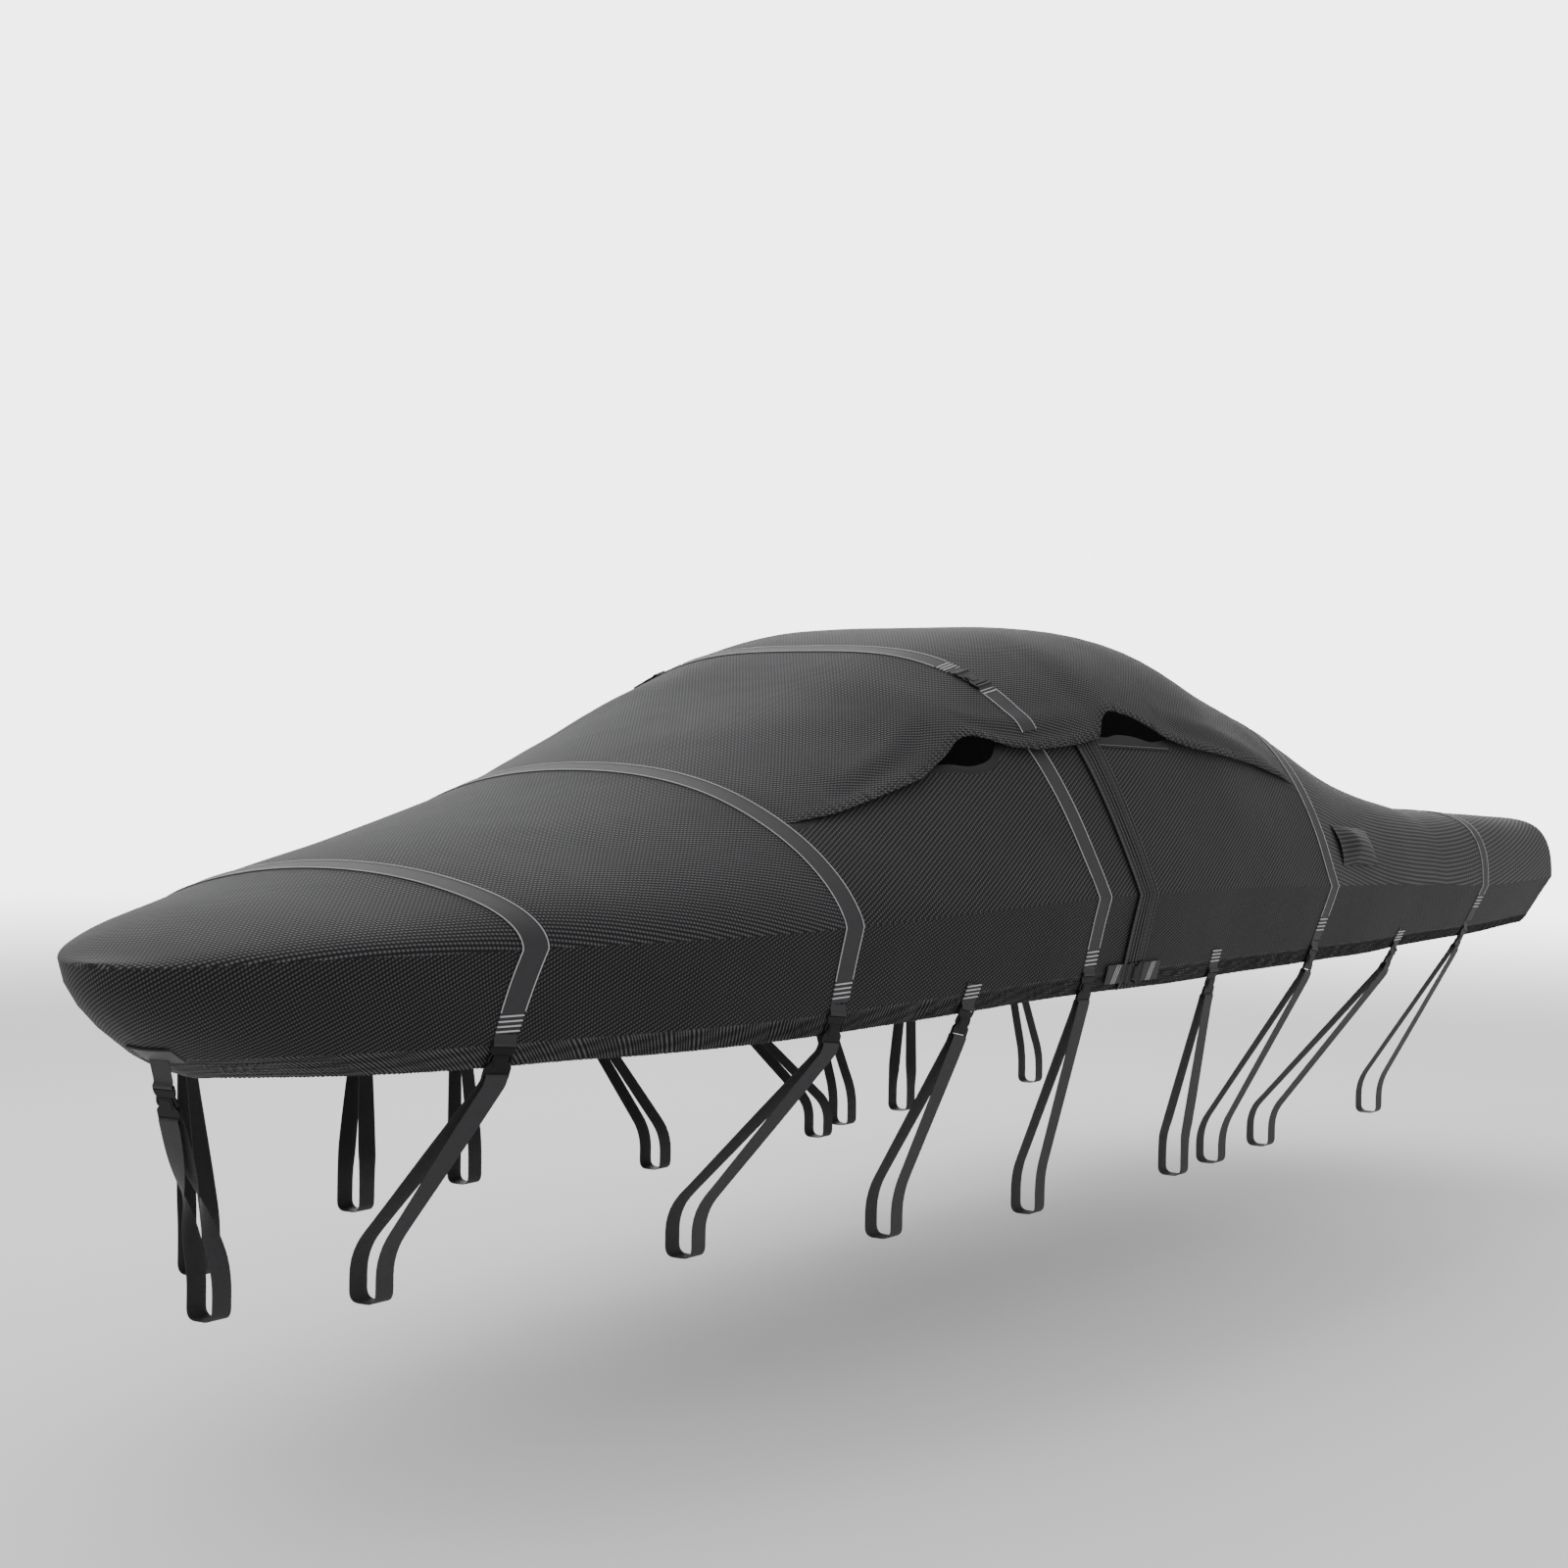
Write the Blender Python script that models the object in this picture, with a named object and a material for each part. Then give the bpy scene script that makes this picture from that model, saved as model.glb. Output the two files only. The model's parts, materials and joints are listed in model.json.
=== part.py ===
"""Boat cover: a fitted, hollow cloth cover with its bands, plackets, vents, clips and tie-down loops.

The cloth is drawn as rows that cross the cover from the crown to the hem.  A row starts on the centre
line (the spine), runs over the top to the crease at the sheer, and drops down the skirt to the hem.
Stations are distances aft of the bow end and heights are above the ground, both in metres.  The
object's own frame has +X aft, +Y to starboard and +Z up, with its origin under the crown.
"""

import math

import bpy
import numpy as np

# ---- driving dimensions, in metres -------------------------------------------------------------
LENGTH = 8.00
CORNER_RADIUS = 0.22  # of the stern corners, seen from above
SPINE_BEND = 6.3  # aft of this station the rows start to fan round the stern
SPINE_END = 7.45  # where the last row leaves the centre line
ORIGIN_STATION = 4.2

CLOTH = 0.002
WEBBING = 0.002
CLEAR = 0.0003  # between pieces that touch
BAND_CLEAR = 0.0005
BAND_WIDTH = 0.072
STRAP_WIDTH = 0.068
HEM_BAND = 0.17  # share of the skirt that the elastic gathers
HEM_TUCK = 0.010  # how far the elastic draws the hem in
SEWN_STRIP = 0.025  # of cloth beside the slit, between two columns of the grid

TOP_COLUMNS = 6  # from the spine to the slit
SIDE_COLUMNS = 4  # from the slit to the crease
SKIRT_SHARES = (0.35, 0.70, 1 - HEM_BAND, 1.0)
BAND_DROPS = SKIRT_SHARES[:2]  # a band stops here and turns into its clip

# One row for each section of the cover.  squareness and fullness are the two exponents of the top's
# outline; hem_in and hem_aft are how far the hem lies inside and aft of the crease.
SECTION_COLUMNS = (
    "station half_width crease crown squareness fullness hem_in hem_aft hem drop_curve".split()
)
SECTIONS = (
    (0.00, 0.000, 1.354, 1.366, 2.0, 2.0, 0.000, 0.34, 1.055, 1.8),
    (0.08, 0.209, 1.360, 1.386, 2.0, 2.0, 0.000, 0.32, 1.066, 1.7),
    (0.24, 0.362, 1.374, 1.434, 2.0, 2.0, 0.010, 0.25, 1.074, 1.5),
    (0.84, 0.680, 1.392, 1.575, 2.0, 2.0, 0.075, 0.12, 1.081, 1.2),
    (1.94, 0.968, 1.412, 1.848, 2.3, 1.40, 0.080, 0.00, 1.100, 1.0),
    (2.59, 1.080, 1.440, 2.050, 2.8, 1.15, 0.080, 0.00, 1.125, 1.0),
    (3.24, 1.158, 1.463, 2.275, 3.5, 1.00, 0.080, 0.00, 1.148, 1.0),
    (3.74, 1.190, 1.464, 2.368, 4.0, 1.00, 0.080, 0.00, 1.150, 1.0),
    (4.29, 1.203, 1.462, 2.358, 4.6, 0.98, 0.080, 0.00, 1.150, 1.0),
    (4.74, 1.208, 1.452, 2.220, 5.2, 0.95, 0.080, 0.00, 1.152, 1.0),
    (5.09, 1.210, 1.443, 2.095, 6.5, 0.92, 0.080, 0.00, 1.155, 1.0),
    (5.64, 1.213, 1.432, 1.880, 8.0, 1.10, 0.080, 0.00, 1.160, 1.0),
    (6.29, 1.212, 1.410, 1.740, 11.0, 1.80, 0.085, 0.00, 1.168, 1.0),
    (6.89, 1.208, 1.390, 1.682, 14.0, 2.50, 0.090, 0.00, 1.175, 1.0),
    (7.78, 1.195, 1.400, 1.676, 18.0, 2.50, 0.095, -0.10, 1.190, 1.0),
    (8.12, 1.195, 1.405, 1.676, 18.0, 2.50, 0.100, -0.18, 1.190, 1.0),
    (9.12, 1.195, 1.405, 1.676, 16.0, 2.50, 0.100, -0.18, 1.190, 1.0),
)

# The slit between the hood and the side: the hood's free edge and the side's top edge as heights, and
# how far the hood's edge flares off the side.  Where the edge is the higher one, the slit gapes.
SLIT_COLUMNS = "station edge top flare".split()
SLIT = (
    (1.965, 1.701, 1.701, 0.000),
    (2.001, 1.702, 1.702, 0.000),
    (2.050, 1.705, 1.705, 0.006),
    (2.190, 1.722, 1.752, 0.013),
    (2.390, 1.765, 1.812, 0.018),
    (2.610, 1.818, 1.865, 0.022),
    (2.800, 1.870, 1.885, 0.024),
    (2.850, 1.930, 1.872, 0.024),
    (2.915, 1.968, 1.882, 0.024),
    (2.975, 1.955, 1.900, 0.024),
    (3.050, 1.928, 1.955, 0.024),
    (3.169, 1.920, 1.978, 0.024),
    (3.241, 1.926, 1.984, 0.024),
    (3.410, 1.942, 1.985, 0.024),
    (3.545, 1.965, 1.985, 0.024),
    (3.600, 2.022, 1.975, 0.024),
    (3.680, 2.062, 1.990, 0.024),
    (3.780, 2.048, 1.985, 0.024),
    (3.880, 2.010, 1.965, 0.024),
    (3.980, 1.965, 1.975, 0.024),
    (4.120, 1.938, 1.985, 0.024),
    (4.370, 1.915, 1.962, 0.022),
    (4.650, 1.885, 1.928, 0.018),
    (4.850, 1.852, 1.872, 0.012),
    (4.940, 1.832, 1.832, 0.006),
    (5.014, 1.818, 1.818, 0.000),
    (5.050, 1.811, 1.811, 0.000),
)
AFT_SLIT_SHARE = 0.74  # the grid column that carries on from the slit over the aft deck

# Where each band crosses the crease, and how far it runs forward from there to the hem.
BANDS = {"band_1": 0.863, "band_2": 1.965, "band_5": 5.05, "band_6": 6.81}
BAND_LEANS = {"band_1": 0.16, "band_2": 0.00, "band_4": 0.00, "band_5": 0.06, "band_6": 0.06}
SIDE_BAND_ROWS = (3.169, 3.241)
HOOD_BAND_ROWS = (3.169, 3.241)
PLACKET_ROWS = (3.410, 3.545)
COLLAR_ROWS = (3.545, 3.980)
VENT_ROWS = (5.200, 5.560)

# Where each tie-down hangs, how far its band has run forward there, the length of its sewn tab, how far it leans forward, and the foot that its
# loop goes round: its station, its distance from the centre line and the height of its underside.
HANGER_COLUMNS = "station forward tab lean foot_station foot_half foot_height".split()
HANGERS = (
    (0.863, 0.112, 0.00, 0.10, 0.68, 0.31, 0.47),
    (1.965, 0.000, 0.00, 0.15, 1.65, 0.62, 0.48),
    (2.570, 0.000, 0.05, 0.25, 2.41, 0.82, 0.45),
    (3.205, 0.000, 0.00, 0.05, 3.44, 0.77, 0.38),
    (4.110, 0.000, 0.05, 0.00, 4.58, 0.78, 0.37),
    (5.050, 0.042, 0.00, 0.20, 4.83, 0.82, 0.39),
    (5.920, 0.000, 0.05, 0.50, 5.31, 0.82, 0.40),
    (6.810, 0.042, 0.00, 0.30, 6.49, 0.82, 0.41),
)
LOW_DROP = 0.83  # share of the skirt where a clip with its own tab starts
FOOT_WIDTH = 0.09
FOOT_DEPTH = 0.13
BOW_FOOT = {"foot_station": 0.41, "foot_half": 0.0, "foot_height": 0.43}
BOW_DROP = 0.80  # share of the stem where its tab is sewn on
BOW_TAB = 0.045
BOW_DOWN = np.array([0.30, 0.0, -0.954])

CLIP_LENGTH = 0.125
BAR_HEIGHT = 0.012
BAR_SIDE = 0.0100  # from the bar's middle to the webbing's, in front of the bar and behind it
BAR_TOP = 0.0073  # the same above it, where the loop hangs on the bar
LOOP_BEND = 0.005

PLACKET_RIDGES = 5
PLACKET_RIDGE = 0.004
PLACKET_CLEAR = 0.0020
PLACKET_TAB = 0.115
PLACKET_CLIP_DROP = 0.82
PLACKET_CLIP_SCALE = 0.96
PLACKET_CLIP_LIFT = 0.0083
HOOD_CLIP_SHARE = 0.66
HOOD_CLIP_LIFT = -0.0010  # the band's flat facets lie inside the curve
VENT_RISE = 0.055
VENT_COLUMNS = (TOP_COLUMNS + 2, TOP_COLUMNS + 4)
PATCH_ROWS = 2


# ---- reading the tables ------------------------------------------------------------------------
def table(rows, names):
    return dict(zip(names, np.array(rows, dtype=float).T))


SECTION = table(SECTIONS, SECTION_COLUMNS)
SLIT_TABLE = table(SLIT, SLIT_COLUMNS)
CORNER_START = LENGTH - CORNER_RADIUS
STERN_HALF = float(SECTION["half_width"][-1])
CORNER_END = CORNER_START + CORNER_RADIUS * math.pi / 2
PATH_END = CORNER_END + STERN_HALF - CORNER_RADIUS


def smooth(name, station):
    """A column of the section table on a smooth curve.  The root of the station rounds the bow end."""
    knots = np.sqrt(SECTION["station"])
    values = SECTION[name]
    slopes = np.gradient(values, knots)
    at = math.sqrt(min(max(station, 0.0), SECTION["station"][-1]))
    i = int(np.clip(np.searchsorted(knots, at) - 1, 0, len(knots) - 2))
    span = knots[i + 1] - knots[i]
    t = (at - knots[i]) / span
    return float(
        (2 * t**3 - 3 * t**2 + 1) * values[i]
        + (t**3 - 2 * t**2 + t) * span * slopes[i]
        + (3 * t**2 - 2 * t**3) * values[i + 1]
        + (t**3 - t**2) * span * slopes[i + 1]
    )


# ---- the cloth's surface, starboard half -------------------------------------------------------
def crease_point(station):
    """The crease, seen from above: along the side, round the stern corner and across the stern."""
    if station <= CORNER_START:
        return np.array([station, smooth("half_width", station)])
    if station <= CORNER_END:
        turn = (station - CORNER_START) / CORNER_RADIUS
        middle = np.array([CORNER_START, STERN_HALF - CORNER_RADIUS])
        return middle + CORNER_RADIUS * np.array([math.sin(turn), math.cos(turn)])
    return np.array([LENGTH, max(PATH_END - station, 0.0)])


def outward_from_above(station):
    step = 0.002
    ahead = crease_point(min(station + step, PATH_END))
    behind = crease_point(max(station - step, 0.0))
    along = ahead - behind
    return np.array([-along[1], along[0]]) / np.linalg.norm(along)


def spine_station(station):
    if station <= SPINE_BEND:
        return station
    share = (station - SPINE_BEND) / (PATH_END - SPINE_BEND)
    return SPINE_BEND + share * (SPINE_END - SPINE_BEND)


def top_outline(station):
    """A dense run of points from the spine to the crease, and the share of its length at each."""
    turn = np.linspace(0, math.pi / 2, 160)
    reach = np.sin(turn) ** (2 / smooth("squareness", station))
    rise = np.cos(turn) ** (2 / smooth("fullness", station))
    spine = np.array([spine_station(station), 0.0])
    plan = spine + reach[:, None] * (crease_point(station) - spine)
    crease, crown = smooth("crease", station), smooth("crown", spine_station(station))
    points = np.column_stack([plan, crease + rise * (crown - crease)])
    steps = np.linalg.norm(np.diff(points, axis=0), axis=1)
    length = np.concatenate([[0], np.cumsum(steps)])
    return points, length / length[-1], length[-1]


def top_points(station, shares):
    points, at, _ = top_outline(station)
    return np.column_stack([np.interp(shares, at, points[:, k]) for k in range(3)])


def skirt_points(station, drops):
    """Points down the skirt, from 0 at the crease to 1 at the hem."""
    drops = np.asarray(drops, dtype=float)
    crease, hem = smooth("crease", station), smooth("hem", station)
    tuck = HEM_TUCK * np.clip((drops - 1 + HEM_BAND) / HEM_BAND, 0, 1) ** 2
    bent = np.maximum(drops, 0) ** smooth("drop_curve", station)
    inward = smooth("hem_in", station) * bent + tuck
    plan = crease_point(station) - inward[:, None] * outward_from_above(station)
    plan[:, 0] += smooth("hem_aft", station) * bent
    return np.column_stack([plan, crease + drops * (hem - crease)])


def share_at_height(station, height):
    points, at, _ = top_outline(station)
    return float(np.interp(-height, -points[:, 2], at))


def strip_share(station):
    return min(SEWN_STRIP / top_outline(station)[2], 0.08)


def unit(vectors):
    return vectors / np.maximum(np.linalg.norm(vectors, axis=-1, keepdims=True), 1e-12)


def row(station, shares):
    """Points and outward normals across the cover, for shares 0..1 on the top and 1..2 on the skirt.

    At the crease the normal halves the angle, and is long enough to keep the cloth's thickness."""
    shares = np.asarray(shares, dtype=float)
    step, side = 0.004, 0.004

    def line(at, where, on_top):
        return top_points(at, where) if on_top else skirt_points(at, where - 1)

    def normals(where, on_top):
        low, high = (0.0, 1.0) if on_top else (1.0, 2.0)
        fore, aft = max(station - step, 0.0005), min(station + step, PATH_END)
        along = line(aft, where, on_top) - line(fore, where, on_top)
        up, down = np.maximum(where - side, low), np.minimum(where + side, high)
        across = line(station, down, on_top) - line(station, up, on_top)
        found = unit(np.cross(along, across))
        if on_top:
            found[where < 1e-9, 1] = 0
        if station > PATH_END - 1e-6:
            found[:, 1] = 0
        return unit(found)

    points = np.where(
        (shares <= 1)[:, None],
        top_points(station, np.minimum(shares, 1)),
        skirt_points(station, np.maximum(shares - 1, 0)),
    )
    on_top = normals(np.minimum(shares, 1), True)
    on_skirt = normals(np.maximum(shares, 1), False)
    out = np.where((shares < 1)[:, None], on_top, on_skirt)
    for k in np.nonzero(np.abs(shares - 1) < 1e-9)[0]:
        half = unit(on_top[k] + on_skirt[k])
        out[k] = half / max(half @ on_skirt[k], 0.5)
    return points, out


# ---- the grid's columns ------------------------------------------------------------------------
def slit_share(station):
    first, last = SLIT[0], SLIT[-1]
    if station <= first[0]:
        return share_at_height(first[0], first[1])
    if station >= last[0]:
        blend = min((station - last[0]) / (SPINE_BEND - last[0]), 1.0)
        return (1 - blend) * share_at_height(last[0], last[1]) + blend * AFT_SLIT_SHARE
    height = np.interp(station, SLIT_TABLE["station"], SLIT_TABLE["edge"])
    return share_at_height(station, float(height))


def deck_shares(station):
    """Columns from the spine to the crease where the top is one panel."""
    slit, strip = slit_share(station), strip_share(station)
    inner = np.linspace(0, slit - strip, TOP_COLUMNS)
    outer = np.linspace(slit + strip, 1, SIDE_COLUMNS)
    return np.concatenate([inner, [slit], outer])


def hood_and_side_shares(index):
    """Columns of the hood and of the side at one row of the slit table."""
    station, edge, top, _ = SLIT[index]
    strip = strip_share(station)
    edge_share, top_share = share_at_height(station, edge), share_at_height(station, top)
    gap = CLEAR / 2 / top_outline(station)[2]
    if abs(edge - top) < 1e-6:
        inner, outer = edge_share - strip, top_share + strip
        edge_share, top_share = edge_share - gap, top_share + gap
    elif edge < top:
        inner, outer = top_share, edge_share
    else:
        inner, outer = edge_share - strip, top_share + strip
    hood = np.concatenate([np.linspace(0, inner, TOP_COLUMNS), [edge_share]])
    side = np.concatenate([[top_share], np.linspace(outer, 1, SIDE_COLUMNS)])
    return hood, side


def grid(stations, shares_of):
    """(points, normals) of a half panel, one row for each station."""
    rows = [row(s, shares_of(s)) for s in stations]
    return np.array([r[0] for r in rows]), np.array([r[1] for r in rows])


def mirrored(points):
    """The port copy of a starboard grid, with its columns the other way round."""
    return (points * np.array([1, -1, 1]))[:, ::-1]


def whole(points):
    """A grid from port to starboard, joined on the centre line."""
    return np.concatenate([mirrored(points)[:, :-1], points], axis=1)


# ---- making solids -----------------------------------------------------------------------------
def clear_scene():
    for obj in list(bpy.data.objects):
        bpy.data.objects.remove(obj)


def material(name, colour, roughness, metallic=0.0):
    made = bpy.data.materials.new(name)
    made.use_nodes = True
    shader = made.node_tree.nodes["Principled BSDF"]
    shader.inputs["Base Color"].default_value = (*colour, 1)
    shader.inputs["Roughness"].default_value = roughness
    shader.inputs["Metallic"].default_value = metallic
    made.diffuse_color = (*colour, 1)
    return made


def add_object(name, points, faces, finish):
    """A mesh in the object's frame, with points that coincide made one."""
    placed = np.asarray(points) - np.array([ORIGIN_STATION, 0, ORIGIN_HEIGHT])
    keys = np.round(placed, 7)
    kept, index = np.unique(keys, axis=0, return_inverse=True)
    index = index.reshape(-1)
    whole_faces = []
    for face in faces:
        corners = [int(index[c]) for c in face]
        if len(set(corners)) == 3:
            whole_faces.append(corners)
    mesh = bpy.data.meshes.new(name)
    mesh.from_pydata([tuple(p) for p in kept], [], whole_faces)
    mesh.materials.append(finish)
    obj = bpy.data.objects.new(name, mesh)
    bpy.context.scene.collection.objects.link(obj)
    return obj


def sheet_faces(rows, columns, start, outside):
    """Triangles of a grid of points that starts at index start."""
    faces = []
    for i in range(rows - 1):
        for j in range(columns - 1):
            a = start + i * columns + j
            b, c, d = a + columns, a + columns + 1, a + 1
            pair = [(a, b, c), (a, c, d)]
            faces += pair if outside else [t[::-1] for t in pair]
    return faces


def rim_faces(line, shift, outside):
    """Triangles between an edge of the outer sheet and the same edge of the inner one."""
    faces = []
    for a, b in zip(line, line[1:]):
        pair = [(a, b, b + shift), (a, b + shift, a + shift)]
        faces += pair if outside else [t[::-1] for t in pair]
    return faces


def shell(name, outer, inner, finish, last_row_joined=False):
    """A closed sheet between two grids.  Rows run aft and columns run to starboard."""
    rows, columns = outer.shape[:2]
    count = rows * columns
    points = np.concatenate([outer.reshape(-1, 3), inner.reshape(-1, 3)])
    faces = sheet_faces(rows, columns, 0, True) + sheet_faces(rows, columns, count, False)
    first = list(range(columns))
    last = [(rows - 1) * columns + j for j in range(columns)]
    port = [i * columns for i in range(rows)]
    starboard = [i * columns + columns - 1 for i in range(rows)]
    faces += rim_faces(first, count, True)
    if not last_row_joined:
        faces += rim_faces(last, count, False)
    faces += rim_faces(port, count, False)
    faces += rim_faces(starboard, count, True)
    return add_object(name, points, faces, finish)


def lifted_shell(name, base, below, above, finish, **more):
    """A sheet between two lifts over a grid of points and normals; a lift may be a grid too."""
    points, normals = base
    low = np.broadcast_to(np.asarray(below, dtype=float), points.shape[:2])[..., None]
    high = np.broadcast_to(np.asarray(above, dtype=float), points.shape[:2])[..., None]
    return shell(name, points + high * normals, points + low * normals, finish, **more)


def both_sides(maker, name, base, *lifts):
    """The starboard piece and its port copy."""
    points, normals = base
    maker(f"{name}_starboard", (points, normals), *lifts)
    flipped = [np.asarray(lift)[:, ::-1] if np.ndim(lift) == 2 else lift for lift in lifts[:-1]]
    maker(f"{name}_port", (mirrored(points), mirrored(normals)), *flipped, lifts[-1])


# ---- the cloth panels --------------------------------------------------------------------------
def front_rows():
    nose = [(0.02 + 0.093 * k) ** 2 for k in range(10)]
    near = [BANDS["band_1"] - BAND_WIDTH / 2, BANDS["band_1"] + BAND_WIDTH / 2]
    seam = BANDS["band_2"]
    return nose + near + [1.1, 1.35, 1.6, 1.78, seam - BAND_WIDTH / 2, seam - CLEAR / 2]


def mid_rows():
    stations = [r[0] for r in SLIT]
    return [stations[0] + CLEAR / 2] + stations[1:-1] + [stations[-1] - CLEAR / 2]


def aft_rows():
    seam = BANDS["band_5"]
    band = [BANDS["band_6"] - BAND_WIDTH / 2, BANDS["band_6"] + BAND_WIDTH / 2]
    run = [seam + CLEAR / 2, seam + BAND_WIDTH / 2, VENT_ROWS[0], 5.38, VENT_ROWS[1], 5.75, 6.0, 6.3, 6.6]
    corner = [CORNER_START + (CORNER_END - CORNER_START) * k / 4 for k in range(5)]
    stern = [CORNER_END + (PATH_END - CORNER_END) * k / 4 for k in range(1, 5)]
    return run + band + [7.15, 7.45] + corner + stern


def make_decks(cloth):
    for name, stations, joined in (("deck_front", front_rows(), False), ("deck_aft", aft_rows(), True)):
        points, normals = grid(stations, deck_shares)
        full = (whole(points), whole(normals))
        lifted_shell(name, full, -CLOTH, 0.0, cloth, last_row_joined=joined)


def flare(station, shares, edge_share):
    """How far the hood stands off: nothing on the crown, its full flare at the free edge."""
    most = float(np.interp(station, SLIT_TABLE["station"], SLIT_TABLE["flare"]))
    start = edge_share - 0.30
    rise = np.clip((shares - start) / (edge_share - start), 0, 1)
    return most * rise**2 * (3 - 2 * rise)


def make_hood_and_sides(cloth):
    stations = mid_rows()
    columns = [hood_and_side_shares(k) for k in range(len(SLIT))]
    hood = [row(s, c[0]) for s, c in zip(stations, columns)]
    lifts = np.array([flare(s, c[0], c[0][-1]) for s, c in zip(stations, columns)])
    points = whole(np.array([h[0] for h in hood]))
    normals = whole(np.array([h[1] for h in hood]))
    lifts = np.concatenate([lifts[:, ::-1][:, :-1], lifts], axis=1)
    lifted_shell("hood", (points, normals), lifts - CLOTH, lifts, cloth)

    side = [row(s, c[1]) for s, c in zip(stations, columns)]
    base = (np.array([r[0] for r in side]), np.array([r[1] for r in side]))

    def panel(name, grids, finish):
        lifted_shell(name, grids, -CLOTH, 0.0, finish)

    both_sides(panel, "side", base, cloth)
    return base


def skirt_shares(station):
    depth = smooth("crease", station) - smooth("hem", station)
    return 1 + np.array([CLEAR / depth, *SKIRT_SHARES])


def make_skirts(cloth):
    """The skirt from the bow end to the middle of the stern, one piece a side."""
    front, mid, aft = front_rows()[:-1], mid_rows()[1:-1], aft_rows()[1:]
    stations = front + [BANDS["band_2"]] + mid + [BANDS["band_5"]] + aft
    rows = []
    for station in stations:
        shares = skirt_shares(station)
        points, normals = row(station, np.concatenate([[1.0], shares[1:]]))
        points[0, 2] -= CLEAR
        rows.append((points, normals))
    points = np.array([r[0] for r in rows])
    normals = np.array([r[1] for r in rows])
    points[[0, -1], :, 1] = CLEAR
    normals[[0, -1], :, 1] = 0

    def panel(name, grids, finish):
        lifted_shell(name, grids, -CLOTH, 0.0, finish)

    both_sides(panel, "skirt", (points, normals), cloth)


# ---- what is sewn on the cloth -----------------------------------------------------------------
def band_grid(stations, lean):
    """A band's grid over the top and down the skirt, where it leans forward."""
    rows = []
    for station in stations:
        rows.append([row(station, deck_shares(station))])
        for drop in BAND_DROPS:
            rows[-1].append(row(station - lean * drop, [1 + drop]))
    return tuple(np.array([np.concatenate([part[k] for part in parts]) for parts in rows]) for k in (0, 1))


def make_bands(webbing):
    low, high = BAND_CLEAR, BAND_CLEAR + WEBBING
    for name, middle in BANDS.items():
        stations = [middle - BAND_WIDTH / 2, middle + BAND_WIDTH / 2]
        if name in ("band_2", "band_5"):
            stations.insert(1, middle)
        points, normals = band_grid(stations, BAND_LEANS[name])
        lifted_shell(name, (whole(points), whole(normals)), low, high, webbing)


def slit_index(station):
    return [r[0] for r in SLIT].index(station)


def side_grid(first, last, drops):
    """The side panel's own grid between two stations, carried on down the skirt."""
    rows = []
    for k in range(slit_index(first), slit_index(last) + 1):
        shares = np.concatenate([hood_and_side_shares(k)[1], 1 + np.asarray(drops)])
        rows.append(row(SLIT[k][0], shares))
    return np.array([r[0] for r in rows]), np.array([r[1] for r in rows])


def strip_maker(name, grids, low, high, finish):
    lifted_shell(name, grids, low, high, finish)


def make_side_bands(webbing):
    base = side_grid(*SIDE_BAND_ROWS, BAND_DROPS)
    both_sides(strip_maker, "band_4", base, BAND_CLEAR, BAND_CLEAR + WEBBING, webbing)


def make_hood_band(webbing):
    """Band 3 lies on the hood alone, from one slit to the other."""
    rows = []
    for station in HOOD_BAND_ROWS:
        shares = hood_and_side_shares(slit_index(station))[0]
        points, normals = row(station, shares[:-1])
        rows.append((points + flare(station, shares[:-1], shares[-1])[:, None] * normals, normals))
    points, normals = np.array([r[0] for r in rows]), np.array([r[1] for r in rows])
    full = (whole(points), whole(normals))
    lifted_shell("band_3", full, BAND_CLEAR, BAND_CLEAR + WEBBING, webbing)


def refined(base, across, down):
    """The grid with each cell split; the new points lie on the straight edges of the old ones."""
    found = []
    for values in base:
        rows, columns = values.shape[:2]
        at_row = np.linspace(0, rows - 1, (rows - 1) * across + 1)
        at_column = np.linspace(0, columns - 1, (columns - 1) * down + 1)
        i = np.minimum(at_row.astype(int), rows - 2)
        j = np.minimum(at_column.astype(int), columns - 2)
        u, v = (at_row - i)[:, None, None], (at_column - j)[None, :, None]
        corner = [values[np.ix_(i + a, j + b)] for a in (0, 1) for b in (0, 1)]
        found.append(
            (1 - u) * ((1 - v) * corner[0] + v * corner[1]) + u * ((1 - v) * corner[2] + v * corner[3])
        )
    return found[0], found[1]


def make_plackets(cloth):
    """A flap with sewn ridges down its length, from under the hood to just over the hem."""
    base = refined(side_grid(*PLACKET_ROWS, SKIRT_SHARES), 2 * PLACKET_RIDGES, 1)
    lines, columns = base[0].shape[:2]
    ridge = np.where(np.arange(lines) % 2 == 1, PLACKET_RIDGE, 0.0)
    high = np.repeat((PLACKET_CLEAR + CLOTH + ridge)[:, None], columns, axis=1)
    both_sides(strip_maker, "placket", base, PLACKET_CLEAR, high, cloth)


def make_collars(webbing):
    """The bound strip along the side's top edge, below the aft gap of the slit."""
    points, normals = side_grid(*COLLAR_ROWS, [])
    strip = (points[:, :2], normals[:, :2])
    both_sides(strip_maker, "collar", strip, BAND_CLEAR, BAND_CLEAR + WEBBING, webbing)


def make_vents(cloth):
    """A scoop on each side of the aft deck, open at its fore end and flat at its aft end."""
    stations = [s for s in aft_rows() if VENT_ROWS[0] <= s <= VENT_ROWS[1]]
    points, normals = grid(stations, deck_shares)
    low, high = VENT_COLUMNS
    base = refined((points[:, low : high + 1], normals[:, low : high + 1]), 2, 3)
    base = (base[0][:, :5], base[1][:, :5])
    lines, columns = base[0].shape[:2]
    along = np.linspace(1, 0, lines)[:, None]
    across = np.linspace(0, 1, columns)[None, :]
    rise = BAND_CLEAR + VENT_RISE * np.sin(math.pi * across) ** 0.8 * (along * (2 - along)) ** 0.8
    both_sides(strip_maker, "vent", base, rise, rise + CLOTH, cloth)


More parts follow.
